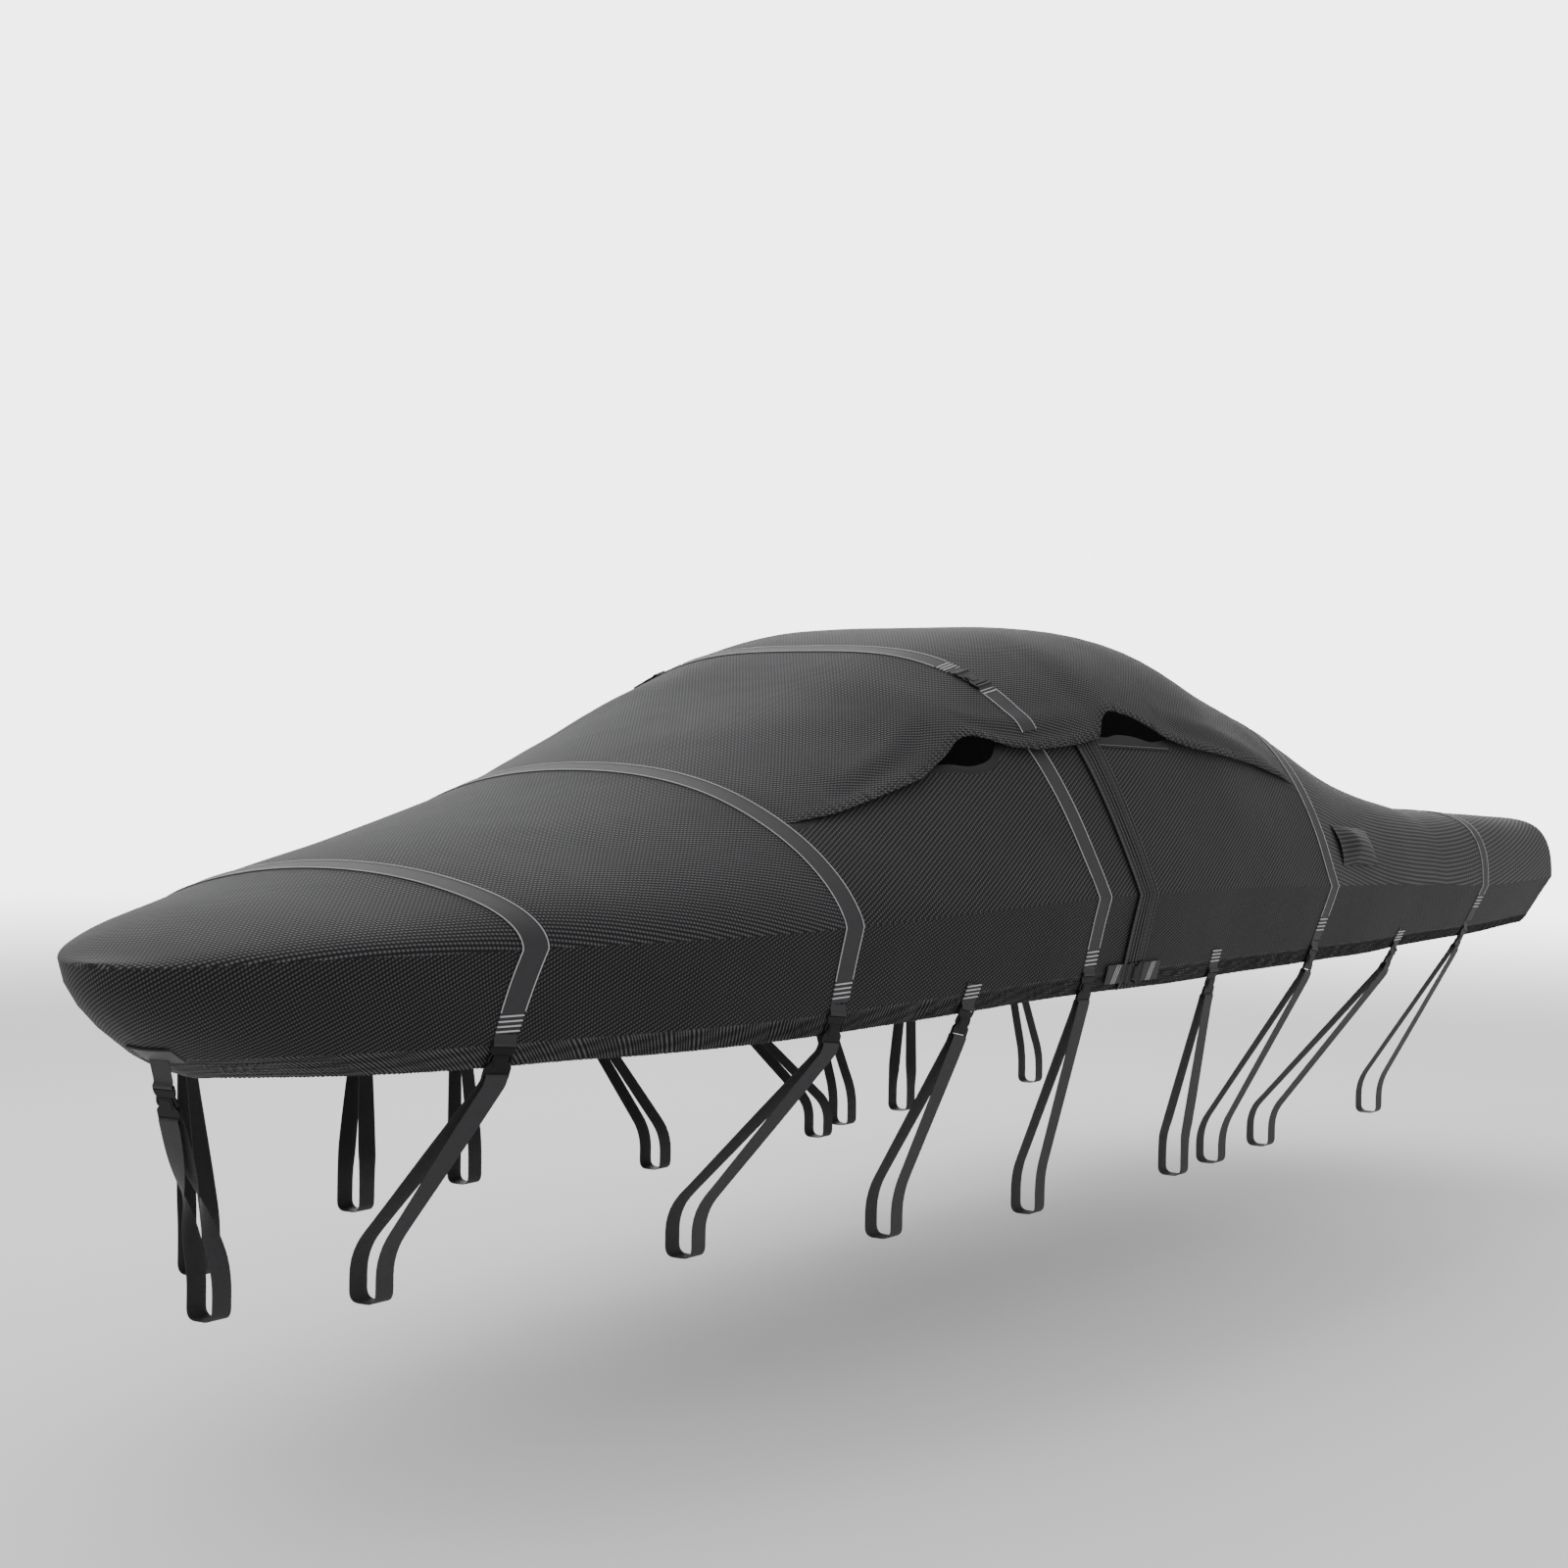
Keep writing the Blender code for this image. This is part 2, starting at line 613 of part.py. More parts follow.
def make_bow_patch(webbing):
    """A strap sewn across the stem, which carries the bow tie-down."""
    points, normals = grid(front_rows()[:PATCH_ROWS], lambda station: 1 + np.array(SKIRT_SHARES[1:3]))
    points[0, :, 1] = normals[0, :, 1] = 0
    flip = np.array([1, -1, 1])
    points = np.concatenate([(points * flip)[:0:-1], points])
    normals = np.concatenate([(normals * flip)[:0:-1], normals])
    lift = BAND_CLEAR + 0.0002
    shell("bow_patch", points + (lift + WEBBING) * normals, points + lift * normals, webbing)


# ---- clips and loops ---------------------------------------------------------------------------
class Frame:
    """A place on the cover with its width, down and outward directions."""

    def __init__(self, origin, width, down):
        self.origin = np.array(origin, dtype=float)
        self.width = unit(np.array(width, dtype=float))
        self.down = unit(np.array(down, dtype=float) - self.width * (np.array(down) @ self.width))
        self.out = np.cross(self.width, self.down)

    def at(self, across, along, lift):
        return self.origin + across * self.width + along * self.down + lift * self.out


def skirt_frame(station, drop, side, lean=0.0):
    """On the skirt's outside.  Its width runs aft on starboard and forward on port."""
    points, _ = row(station, [1 + drop, 1.0 + drop * 0.5])
    fore, aft = row(station - 0.03, [1 + drop])[0][0], row(station + 0.03, [1 + drop])[0][0]
    flip = np.array([1, side, 1])
    along = unit((aft - fore) * flip)
    down = unit((points[0] - points[1]) * flip)
    return Frame(points[0] * flip, side * (along + lean * down), down - lean * along)


# Outline of a clip from its upper end down: distance, half width, and the lifts of its two faces.
CLIP_OUTLINE_COLUMNS = "along half low high".split()
CLIP_OUTLINE = (
    (0.000, 0.0350, 0.0006, 0.0080),
    (0.012, 0.0370, 0.0006, 0.0100),
    (0.050, 0.0360, 0.0006, 0.0110),
    (0.066, 0.0290, 0.0006, 0.0110),
    (0.080, 0.0340, 0.0006, 0.0110),
    (0.092, 0.0390, 0.0006, 0.0110),
    (0.099, 0.0390, 0.0010, 0.0100),
    (0.113, 0.0390, 0.0010, 0.0100),
    (0.125, 0.0390, 0.0010, 0.0100),
)
SLOT_ROWS = (6, 7)
SLOT_HALF = 0.0350


def plate(name, frame, outline, slots, slot_half, finish):
    """A plate of stacked cells, three across; the middle cell of each slot row is left open."""
    points, index = [], {}
    for i, (along, half, low, high) in enumerate(outline):
        for j, across in enumerate((-half, -min(slot_half, half * 0.8), min(slot_half, half * 0.8), half)):
            if i in slots or i - 1 in slots:
                across = (-half, -slot_half, slot_half, half)[j]
            for k, lift in enumerate((low, high)):
                index[i, j, k] = len(points)
                points.append(frame.at(across, along, lift))
    cells = {(i, j) for i in range(len(outline) - 1) for j in range(3)} - {(i, 1) for i in slots}
    faces = []

    def quad(a, b, c, d):
        faces.extend([(a, b, c), (a, c, d)])

    for i, j in cells:
        corner = {(a, b, k): index[i + a, j + b, k] for a in (0, 1) for b in (0, 1) for k in (0, 1)}
        quad(corner[0, 0, 1], corner[0, 1, 1], corner[1, 1, 1], corner[1, 0, 1])
        quad(corner[0, 0, 0], corner[1, 0, 0], corner[1, 1, 0], corner[0, 1, 0])
        if (i - 1, j) not in cells:
            quad(corner[0, 0, 0], corner[0, 1, 0], corner[0, 1, 1], corner[0, 0, 1])
        if (i + 1, j) not in cells:
            quad(corner[1, 0, 0], corner[1, 0, 1], corner[1, 1, 1], corner[1, 1, 0])
        if (i, j - 1) not in cells:
            quad(corner[0, 0, 0], corner[0, 0, 1], corner[1, 0, 1], corner[1, 0, 0])
        if (i, j + 1) not in cells:
            quad(corner[0, 1, 0], corner[1, 1, 0], corner[1, 1, 1], corner[0, 1, 1])
    return add_object(name, points, faces, finish)


def clip_outline(tab):
    """The clip's outline, with a flat webbing tab of this length above it."""
    if not tab:
        return CLIP_OUTLINE, SLOT_ROWS[:1]
    web = ((-tab, STRAP_WIDTH / 2, 0.0006, 0.0026), (-0.0004, STRAP_WIDTH / 2, 0.0006, 0.0026))
    return web + CLIP_OUTLINE, (SLOT_ROWS[0] + len(web),)


def rounded(corners, cut):
    """A closed run of points through the corners, each cut off at this distance."""
    found = []
    for k, corner in enumerate(corners):
        for other in (corners[k - 1], corners[(k + 1) % len(corners)]):
            found.append(corner + cut * unit(other - corner))
    return np.array(found)


def make_loop(name, frame, foot, side, webbing, leg_points=0):
    """A closed webbing loop round the clip's bar and round the foot below, flat on both."""
    half, base, station = foot["foot_half"], foot["foot_height"], foot["foot_station"]
    bar = CLIP_LENGTH - BAR_HEIGHT / 2
    lift = (CLIP_OUTLINE[-1][2] + CLIP_OUTLINE[-1][3]) / 2
    front_low, front_high = (frame.at(0, bar + r, lift + BAR_SIDE) for r in (BAR_SIDE, -BAR_TOP))
    back_high, back_low = (frame.at(0, bar + r, lift - BAR_SIDE) for r in (-BAR_TOP, BAR_SIDE))

    def foot_corner(reach, rise):
        return np.array([station, side * (half + reach * FOOT_WIDTH / 2), base + rise])

    inner, outer = foot_corner(-1, FOOT_DEPTH), foot_corner(1, FOOT_DEPTH)
    shares = np.arange(1, leg_points + 1) / (leg_points + 1)
    corners = [front_low, front_high, back_high, back_low]
    corners += [back_low + t * (inner - back_low) for t in shares]
    corners += [inner, foot_corner(-1, 0), foot_corner(1, 0), outer]
    corners += [outer + t * (front_low - outer) for t in shares]
    path = rounded(corners, LOOP_BEND)
    tangent = unit(np.roll(path, -1, axis=0) - np.roll(path, 1, axis=0))
    turn = np.clip((back_low[2] - path[:, 2]) / (back_low[2] - inner[2]), 0, 1)[:, None]
    width = (1 - turn) * frame.width + turn * np.array([side, 0, 0])
    width = unit(width - turn * np.sum(width * tangent, axis=1, keepdims=True) * tangent)
    thick = unit(np.cross(tangent, width))
    points = []
    for a, b in ((-1, -1), (1, -1), (1, 1), (-1, 1)):
        points.append(path + a * STRAP_WIDTH / 2 * width + b * WEBBING / 2 * thick)
    count = len(path)
    faces = []
    for k in range(4):
        for i in range(count):
            a, b = k * count + i, k * count + (i + 1) % count
            c, d = (k + 1) % 4 * count + (i + 1) % count, (k + 1) % 4 * count + i
            faces += [(a, c, b), (a, d, c)] if k < 2 else [(a, d, b), (b, d, c)]
    add_object(name, np.concatenate(points), faces, webbing)


def make_tie_downs(webbing, resin):
    for number, values in enumerate(HANGERS, start=1):
        hanger = dict(zip(HANGER_COLUMNS, values))
        for side, word in ((1, "starboard"), (-1, "port")):
            drop = LOW_DROP if hanger["tab"] else BAND_DROPS[-1]
            frame = skirt_frame(hanger["station"] - hanger["forward"], drop, side, hanger["lean"])
            drop_by = CLEAR + BAND_CLEAR + hanger["lean"] * BAND_WIDTH / 2
            frame.origin = frame.origin + drop_by * frame.down
            outline, slots = clip_outline(hanger["tab"])
            plate(f"clip_{number}_{word}", frame, outline, slots, SLOT_HALF, resin)
            make_loop(f"loop_{number}_{word}", frame, hanger, side, webbing)


def make_bow_tie_down(webbing, resin):
    """The clip faces forward below the stem, and its loop turns a quarter on the way down."""
    points, normals = row(front_rows()[0], [1 + BOW_DROP])
    flat = np.array([1, 0, 1])
    lift = BAND_CLEAR + WEBBING
    origin = points[0] * flat + lift * unit(normals[0] * flat) + BOW_TAB * BOW_DOWN
    frame = Frame(origin, [0, 1, 0], BOW_DOWN)
    outline, slots = clip_outline(BOW_TAB)
    plate("clip_bow", frame, outline, slots, SLOT_HALF, resin)
    make_loop("loop_bow", frame, BOW_FOOT, 1, webbing, leg_points=5)


# A hood band's clip and the placket's clip lie flat; their outlines have a tab at both ends.
FLAT_CLIP = (
    (-0.062, 0.0335, 0.0, 0.008),
    (-0.030, 0.0350, 0.0, 0.010),
    (-0.012, 0.0285, 0.0, 0.010),
    (0.006, 0.0350, 0.0, 0.010),
    (0.062, 0.0335, 0.0, 0.008),
)


def make_placket_clips(resin):
    middle = sum(PLACKET_ROWS) / 2 + 0.010
    for side, word in ((1, "starboard"), (-1, "port")):
        across = skirt_frame(middle, PLACKET_CLIP_DROP, side)
        origin = across.origin + PLACKET_CLIP_LIFT * across.out
        frame = Frame(origin, -side * across.down, side * across.width)
        scaled = [(a, h * PLACKET_CLIP_SCALE, lo, hi) for a, h, lo, hi in FLAT_CLIP]
        web = STRAP_WIDTH / 2 * PLACKET_CLIP_SCALE
        fore = ((-0.062 - PLACKET_TAB, web, 0.0, 0.0024), (-0.0624, web, 0.0, 0.0024))
        aft = ((0.0624, web, 0.0, 0.0024), (0.062 + PLACKET_TAB, web, 0.0, 0.0024))
        plate(f"placket_clip_{word}", frame, fore + tuple(scaled) + aft, (), 0.02, resin)


def make_hood_clips(resin):
    """The clip on each side of band 3, on top of its webbing."""
    k = slit_index(HOOD_BAND_ROWS[0])
    edge = hood_and_side_shares(k)[0][-1]
    near = HOOD_CLIP_SHARE * edge + np.array([-0.03, 0, 0.03])
    rows = []
    for station in (HOOD_BAND_ROWS[0], sum(HOOD_BAND_ROWS) / 2, HOOD_BAND_ROWS[1]):
        points, normals = row(station, near)
        rows.append(points + (flare(station, near, edge) + HOOD_CLIP_LIFT)[:, None] * normals)
    for side, word in ((1, "starboard"), (-1, "port")):
        flip = np.array([1, side, 1])
        width, down = side * (rows[2][1] - rows[0][1]) * flip, (rows[1][2] - rows[1][0]) * flip
        frame = Frame(rows[1][1] * flip, width, down)
        plate(f"band_3_clip_{word}", frame, FLAT_CLIP, (), 0.02, resin)


def main():
    clear_scene()
    cloth = material("coated polyester cloth", (0.065, 0.066, 0.069), 0.75)
    webbing = material("polyester webbing", (0.035, 0.036, 0.038), 0.7)
    resin = material("acetal", (0.02, 0.02, 0.021), 0.4)
    make_decks(cloth)
    make_hood_and_sides(cloth)
    make_skirts(cloth)
    make_bands(webbing)
    make_side_bands(webbing)
    make_hood_band(webbing)
    make_plackets(cloth)
    make_collars(webbing)
    make_vents(cloth)
    make_bow_patch(webbing)
    make_tie_downs(webbing, resin)
    make_bow_tie_down(webbing, resin)
    make_placket_clips(resin)
    make_hood_clips(resin)


ORIGIN_HEIGHT = smooth("crown", ORIGIN_STATION) - CLOTH

main()
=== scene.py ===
# %% [markdown]
# # A fitted boat cover in woven polyester
# The cover is a hollow tent of cloth with a slit on each side, webbing bands across its top, buckles at
# its hem and webbing loops below them.  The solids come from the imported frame.  This script dresses
# them: every soft solid is replaced by a finer sheet on the same surface, with folds, gathers and weave.

# %% Load the frame and keep its box
import json
import math

import bmesh
import bpy
import numpy as np
from mathutils import Matrix, Vector
from mathutils.geometry import tessellate_polygon

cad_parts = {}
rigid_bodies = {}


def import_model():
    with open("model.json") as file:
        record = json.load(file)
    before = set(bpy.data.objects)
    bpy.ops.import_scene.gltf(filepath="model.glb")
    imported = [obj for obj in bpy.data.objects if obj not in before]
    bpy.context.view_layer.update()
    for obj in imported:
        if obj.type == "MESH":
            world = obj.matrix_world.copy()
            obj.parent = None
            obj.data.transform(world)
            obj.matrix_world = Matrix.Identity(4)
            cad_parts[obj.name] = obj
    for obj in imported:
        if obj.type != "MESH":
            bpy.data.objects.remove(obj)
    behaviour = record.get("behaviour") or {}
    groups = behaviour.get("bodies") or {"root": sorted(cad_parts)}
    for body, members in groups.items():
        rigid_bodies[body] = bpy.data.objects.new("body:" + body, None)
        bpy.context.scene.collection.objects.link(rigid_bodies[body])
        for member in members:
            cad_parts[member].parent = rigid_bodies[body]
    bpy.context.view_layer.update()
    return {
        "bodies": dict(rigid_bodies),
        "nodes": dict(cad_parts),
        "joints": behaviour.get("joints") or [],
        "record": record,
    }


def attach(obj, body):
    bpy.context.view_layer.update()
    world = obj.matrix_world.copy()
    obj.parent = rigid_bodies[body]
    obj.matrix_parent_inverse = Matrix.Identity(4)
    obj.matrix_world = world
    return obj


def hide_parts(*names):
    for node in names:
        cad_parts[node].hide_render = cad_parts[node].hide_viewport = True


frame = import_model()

# %% [markdown]
# ## Where the photograph was taken from
# The cover hangs well above the floor and the camera looks almost level at its port bow.  The camera's
# place was solved from the outline: its height, its turn from straight aft, a slight tilt and a roll.

# %% Place the camera
ORIGIN_STATION = 4.2  # metres aft of the bow end
IMAGE_PIXELS = 1600
FOCAL_PIXELS = 2718
SENSOR = 36.0
CAMERA_STATION = -4.52
CAMERA_PORT = -4.928
CAMERA_HEIGHT = 1.888  # above the floor
CAMERA_YAW = math.radians(32.95)  # from straight aft towards starboard
CAMERA_PITCH = math.radians(0.52)  # downwards
CAMERA_ROLL = math.radians(0.89)


def place_camera(floor):
    data = bpy.data.cameras.new("camera")
    data.sensor_width = SENSOR
    data.lens = SENSOR * FOCAL_PIXELS / IMAGE_PIXELS
    data.clip_end = 200
    camera = bpy.data.objects.new("camera", data)
    bpy.context.scene.collection.objects.link(camera)
    spot = (CAMERA_STATION - ORIGIN_STATION, CAMERA_PORT, floor + CAMERA_HEIGHT)
    turn = Matrix.Rotation(CAMERA_YAW - math.pi / 2, 4, "Z")
    tilt = Matrix.Rotation(math.pi / 2 - CAMERA_PITCH, 4, "X")
    roll = Matrix.Rotation(CAMERA_ROLL, 4, "Z")
    camera.matrix_world = Matrix.Translation(spot) @ turn @ tilt @ roll
    bpy.context.scene.camera = camera
    return camera


# %% [markdown]
# ## The surface that all the cloth lies on
# The cover is drawn as rows that cross it from the crown to the hem.  Each row is read from a table of
# sections, one line for each, on a smooth curve.  The same numbers made the solids, so a sheet that is
# sampled from them lies where its solid lies.  The slit alone differs a little: two of its rows are eased
# here, and its corners are rounded, which the solids leave sharp.

# %% The sections, the slit and what hangs where
LENGTH = 8.00
CORNER_RADIUS = 0.22
SPINE_BEND = 6.3
SPINE_END = 7.45
CLOTH = 0.002
WEBBING = 0.002
BAND_CLEAR = 0.0005
BAND_WIDTH = 0.072
STRAP_WIDTH = 0.068
HEM_BAND = 0.17
HEM_TUCK = 0.010

SECTION_COLUMNS = (
    "station half_width crease crown squareness fullness hem_in hem_aft hem drop_curve".split()
)
SECTIONS = (
    (0.00, 0.000, 1.354, 1.366, 2.0, 2.0, 0.000, 0.34, 1.055, 1.8),
    (0.08, 0.209, 1.360, 1.386, 2.0, 2.0, 0.000, 0.32, 1.066, 1.7),
    (0.24, 0.362, 1.374, 1.434, 2.0, 2.0, 0.010, 0.25, 1.074, 1.5),
    (0.84, 0.680, 1.392, 1.575, 2.0, 2.0, 0.075, 0.12, 1.081, 1.2),
    (1.94, 0.968, 1.412, 1.848, 2.3, 1.40, 0.080, 0.00, 1.100, 1.0),
    (2.59, 1.080, 1.440, 2.050, 2.8, 1.15, 0.080, 0.00, 1.125, 1.0),
    (3.24, 1.158, 1.463, 2.275, 3.5, 1.00, 0.080, 0.00, 1.148, 1.0),
    (3.74, 1.190, 1.464, 2.368, 4.0, 1.00, 0.080, 0.00, 1.150, 1.0),
    (4.29, 1.203, 1.462, 2.358, 4.6, 0.98, 0.080, 0.00, 1.150, 1.0),
    (4.74, 1.208, 1.452, 2.220, 5.2, 0.95, 0.080, 0.00, 1.152, 1.0),
    (5.09, 1.210, 1.443, 2.095, 6.5, 0.92, 0.080, 0.00, 1.155, 1.0),
    (5.64, 1.213, 1.432, 1.880, 8.0, 1.10, 0.080, 0.00, 1.160, 1.0),
    (6.29, 1.212, 1.410, 1.740, 11.0, 1.80, 0.085, 0.00, 1.168, 1.0),
    (6.89, 1.208, 1.390, 1.682, 14.0, 2.50, 0.090, 0.00, 1.175, 1.0),
    (7.78, 1.195, 1.400, 1.676, 18.0, 2.50, 0.095, -0.10, 1.190, 1.0),
    (8.12, 1.195, 1.405, 1.676, 18.0, 2.50, 0.100, -0.18, 1.190, 1.0),
    (9.12, 1.195, 1.405, 1.676, 16.0, 2.50, 0.100, -0.18, 1.190, 1.0),
)

SLIT_ROUNDING = 0.030
SLIT_END = 0.02  # from each end of the slit, where its rounding starts
SLIT_COLUMNS = "station edge top flare".split()
SLIT = (
    (1.965, 1.701, 1.701, 0.000),
    (2.001, 1.702, 1.702, 0.000),
    (2.050, 1.705, 1.705, 0.006),
    (2.190, 1.722, 1.752, 0.013),
    (2.390, 1.765, 1.812, 0.018),
    (2.610, 1.818, 1.865, 0.022),
    (2.800, 1.900, 1.882, 0.024),
    (2.850, 1.930, 1.872, 0.024),
    (2.915, 1.956, 1.882, 0.024),
    (2.975, 1.955, 1.900, 0.024),
    (3.050, 1.928, 1.955, 0.024),
    (3.169, 1.920, 1.978, 0.024),
    (3.241, 1.926, 1.984, 0.024),
    (3.410, 1.942, 1.985, 0.024),
    (3.545, 1.965, 1.985, 0.024),
    (3.600, 2.022, 1.975, 0.024),
    (3.680, 2.062, 1.990, 0.024),
    (3.780, 2.048, 1.985, 0.024),
    (3.880, 2.010, 1.965, 0.024),
    (3.980, 1.965, 1.975, 0.024),
    (4.120, 1.938, 1.985, 0.024),
    (4.370, 1.915, 1.962, 0.022),
    (4.650, 1.885, 1.928, 0.018),
    (4.850, 1.852, 1.872, 0.012),
    (4.940, 1.832, 1.832, 0.006),
    (5.014, 1.818, 1.818, 0.000),
    (5.050, 1.811, 1.811, 0.000),
)
BANDS = {"band_1": 0.863, "band_2": 1.965, "band_5": 5.05, "band_6": 6.81}
BAND_LEANS = {"band_1": 0.16, "band_2": 0.00, "band_5": 0.06, "band_6": 0.06}
CROWN_BAND_STATION = 3.205  # of band 3 on the hood and of band 4 on the side panels
PLACKET_ROWS = (3.410, 3.545)
COLLAR_ROWS = (3.545, 3.980)
VENT_ROWS = (5.200, 5.560)
LOW_DROP = 0.83  # share of the skirt where a buckle with its own tab starts

HANGER_COLUMNS = "station forward tab lean foot_station foot_half foot_height".split()
HANGERS = (
    (0.863, 0.112, 0.00, 0.10, 0.68, 0.31, 0.47),
    (1.965, 0.000, 0.00, 0.15, 1.65, 0.62, 0.48),
    (2.570, 0.000, 0.05, 0.25, 2.41, 0.82, 0.45),
    (3.205, 0.000, 0.00, 0.05, 3.44, 0.77, 0.38),
    (4.110, 0.000, 0.05, 0.00, 4.58, 0.78, 0.37),
    (5.050, 0.042, 0.00, 0.20, 4.83, 0.82, 0.39),
    (5.920, 0.000, 0.05, 0.50, 5.31, 0.82, 0.40),
    (6.810, 0.042, 0.00, 0.30, 6.49, 0.82, 0.41),
)
SIDES = {"port": -1, "starboard": 1}

# %% [markdown]
# A table is read on a smooth curve through its rows, so the cloth has no kinks at them.  The square root
# of the station rounds the bow end.  The slit's own table is read on straight runs that are rounded a
# little, as the edge of a sewn panel is.

# %% Read the tables
def table(rows, names):
    return dict(zip(names, np.array(rows, dtype=float).T))


SECTION = table(SECTIONS, SECTION_COLUMNS)
SLIT_TABLE = table(SLIT, SLIT_COLUMNS)
KNOTS = np.sqrt(SECTION["station"])
SLOPES = {name: np.gradient(SECTION[name], KNOTS) for name in SECTION_COLUMNS}
CORNER_START = LENGTH - CORNER_RADIUS
STERN_HALF = float(SECTION["half_width"][-1])
CORNER_END = CORNER_START + CORNER_RADIUS * math.pi / 2
PATH_END = CORNER_END + STERN_HALF - CORNER_RADIUS


def smooth(name, station):
    at = math.sqrt(min(max(station, 0.0), SECTION["station"][-1]))
    i = int(np.clip(np.searchsorted(KNOTS, at) - 1, 0, len(KNOTS) - 2))
    span = KNOTS[i + 1] - KNOTS[i]
    t = (at - KNOTS[i]) / span
    values, slopes = SECTION[name], SLOPES[name]
    return float(
        (2 * t**3 - 3 * t**2 + 1) * values[i]
        + (t**3 - 2 * t**2 + t) * span * slopes[i]
        + (3 * t**2 - 2 * t**3) * values[i + 1]
        + (t**3 - t**2) * span * slopes[i + 1]
    )


def slit_value(name, station):
    """A column of the slit's table, with its corners rounded over about 60 mm."""
    lowest, highest = SLIT[0][0], SLIT[-1][0]
    reach = min(1.0, (station - lowest) / SLIT_END, (highest - station) / SLIT_END)
    near = station + max(reach, 0.0) * np.linspace(-SLIT_ROUNDING, SLIT_ROUNDING, 9)
    return float(np.mean(np.interp(near, SLIT_TABLE["station"], SLIT_TABLE[name])))


ORIGIN_HEIGHT = smooth("crown", ORIGIN_STATION) - CLOTH
FLOOR = -ORIGIN_HEIGHT
camera = place_camera(FLOOR)
print("origin is", round(ORIGIN_HEIGHT, 4), "m above the floor; lens", round(camera.data.lens, 2), "mm")

# %% [markdown]
# ## Rows across the cover
# From above, the crease at the edge of the top runs along the side, round the stern corner and across
# the stern.  The top is a rounded tent between the spine and that crease, and the skirt drops from the
# crease to the hem, which lies a little inside it.

# %% Points of a row
def crease_point(station):
    if station <= CORNER_START:
        return np.array([station, smooth("half_width", station)])
    if station <= CORNER_END:
        turn = (station - CORNER_START) / CORNER_RADIUS
        middle = np.array([CORNER_START, STERN_HALF - CORNER_RADIUS])
        return middle + CORNER_RADIUS * np.array([math.sin(turn), math.cos(turn)])
    return np.array([LENGTH, max(PATH_END - station, 0.0)])


def outward_from_above(station):
    step = 0.002
    along = crease_point(min(station + step, PATH_END)) - crease_point(max(station - step, 0.0))
    return np.array([-along[1], along[0]]) / np.linalg.norm(along)


def spine_station(station):
    if station <= SPINE_BEND:
        return station
    share = (station - SPINE_BEND) / (PATH_END - SPINE_BEND)
    return SPINE_BEND + share * (SPINE_END - SPINE_BEND)


OUTLINE_TURN = np.linspace(0, math.pi / 2, 160)


def top_outline(station):
    """A dense run of points from the spine to the crease, the share of its length at each, its length."""
    reach = np.sin(OUTLINE_TURN) ** (2 / smooth("squareness", station))
    rise = np.cos(OUTLINE_TURN) ** (2 / smooth("fullness", station))
    spine = np.array([spine_station(station), 0.0])
    plan = spine + reach[:, None] * (crease_point(station) - spine)
    crease, crown = smooth("crease", station), smooth("crown", spine_station(station))
    points = np.column_stack([plan, crease + rise * (crown - crease)])
    steps = np.linalg.norm(np.diff(points, axis=0), axis=1)
    length = np.concatenate([[0], np.cumsum(steps)])
    return points, length / length[-1], length[-1]


def top_points(station, shares):
    points, at, _ = top_outline(station)
    return np.column_stack([np.interp(shares, at, points[:, k]) for k in range(3)])


def skirt_points(station, drops):
    """Points down the skirt, from 0 at the crease to 1 at the hem."""
    drops = np.asarray(drops, dtype=float)
    crease, hem = smooth("crease", station), smooth("hem", station)
    tuck = HEM_TUCK * np.clip((drops - 1 + HEM_BAND) / HEM_BAND, 0, 1) ** 2
    bent = np.maximum(drops, 0) ** smooth("drop_curve", station)
    inward = smooth("hem_in", station) * bent + tuck
    plan = crease_point(station) - inward[:, None] * outward_from_above(station)
    plan[:, 0] += smooth("hem_aft", station) * bent
    return np.column_stack([plan, crease + drops * (hem - crease)])


def share_at_height(station, height):
    points, at, _ = top_outline(station)
    return float(np.interp(-height, -points[:, 2], at))


def row_points(station, shares):
    """Shares 0..1 run over the top and 1..2 run down the skirt."""
    shares = np.asarray(shares, dtype=float)
    on_top = top_points(station, np.minimum(shares, 1))
    on_skirt = skirt_points(station, np.maximum(shares - 1, 0))
    return np.where((shares <= 1)[:, None], on_top, on_skirt)


# %% [markdown]
# ## Grids, normals and lengths
# A panel is a grid of points, one row for each station.  Its normals come from the grid itself, and its
# texture coordinates are distances in metres along the cloth, so a pattern has one size on all pieces.
# At the bow, which the eye is closest to, the coordinates are stretched a little, so that the weave looks
# finer on the upright skirt and coarser on the deck, which is seen at a low angle.

# %% Grids
def unit(vectors):
    return vectors / np.maximum(np.linalg.norm(vectors, axis=-1, keepdims=True), 1e-12)


def grid_of(stations, shares):
    """A row of points for each station, all at the same shares or each at its own."""
    shares = np.broadcast_to(shares, (len(stations), np.shape(shares)[-1]))
    return np.array([row_points(s, row) for s, row in zip(stations, shares)])


def normals_of(points):
    """Outward normals of a grid whose rows run aft and whose columns run away from the spine."""
    along = np.gradient(points, axis=0)
    across = np.gradient(points, axis=1)
    return unit(np.cross(along, across))


def distances(points, axis):
    steps = np.linalg.norm(np.diff(points, axis=axis), axis=2)
    first = np.zeros_like(np.take(steps, [0], axis=axis))
    return np.cumsum(np.concatenate([first, steps], axis=axis), axis=axis)


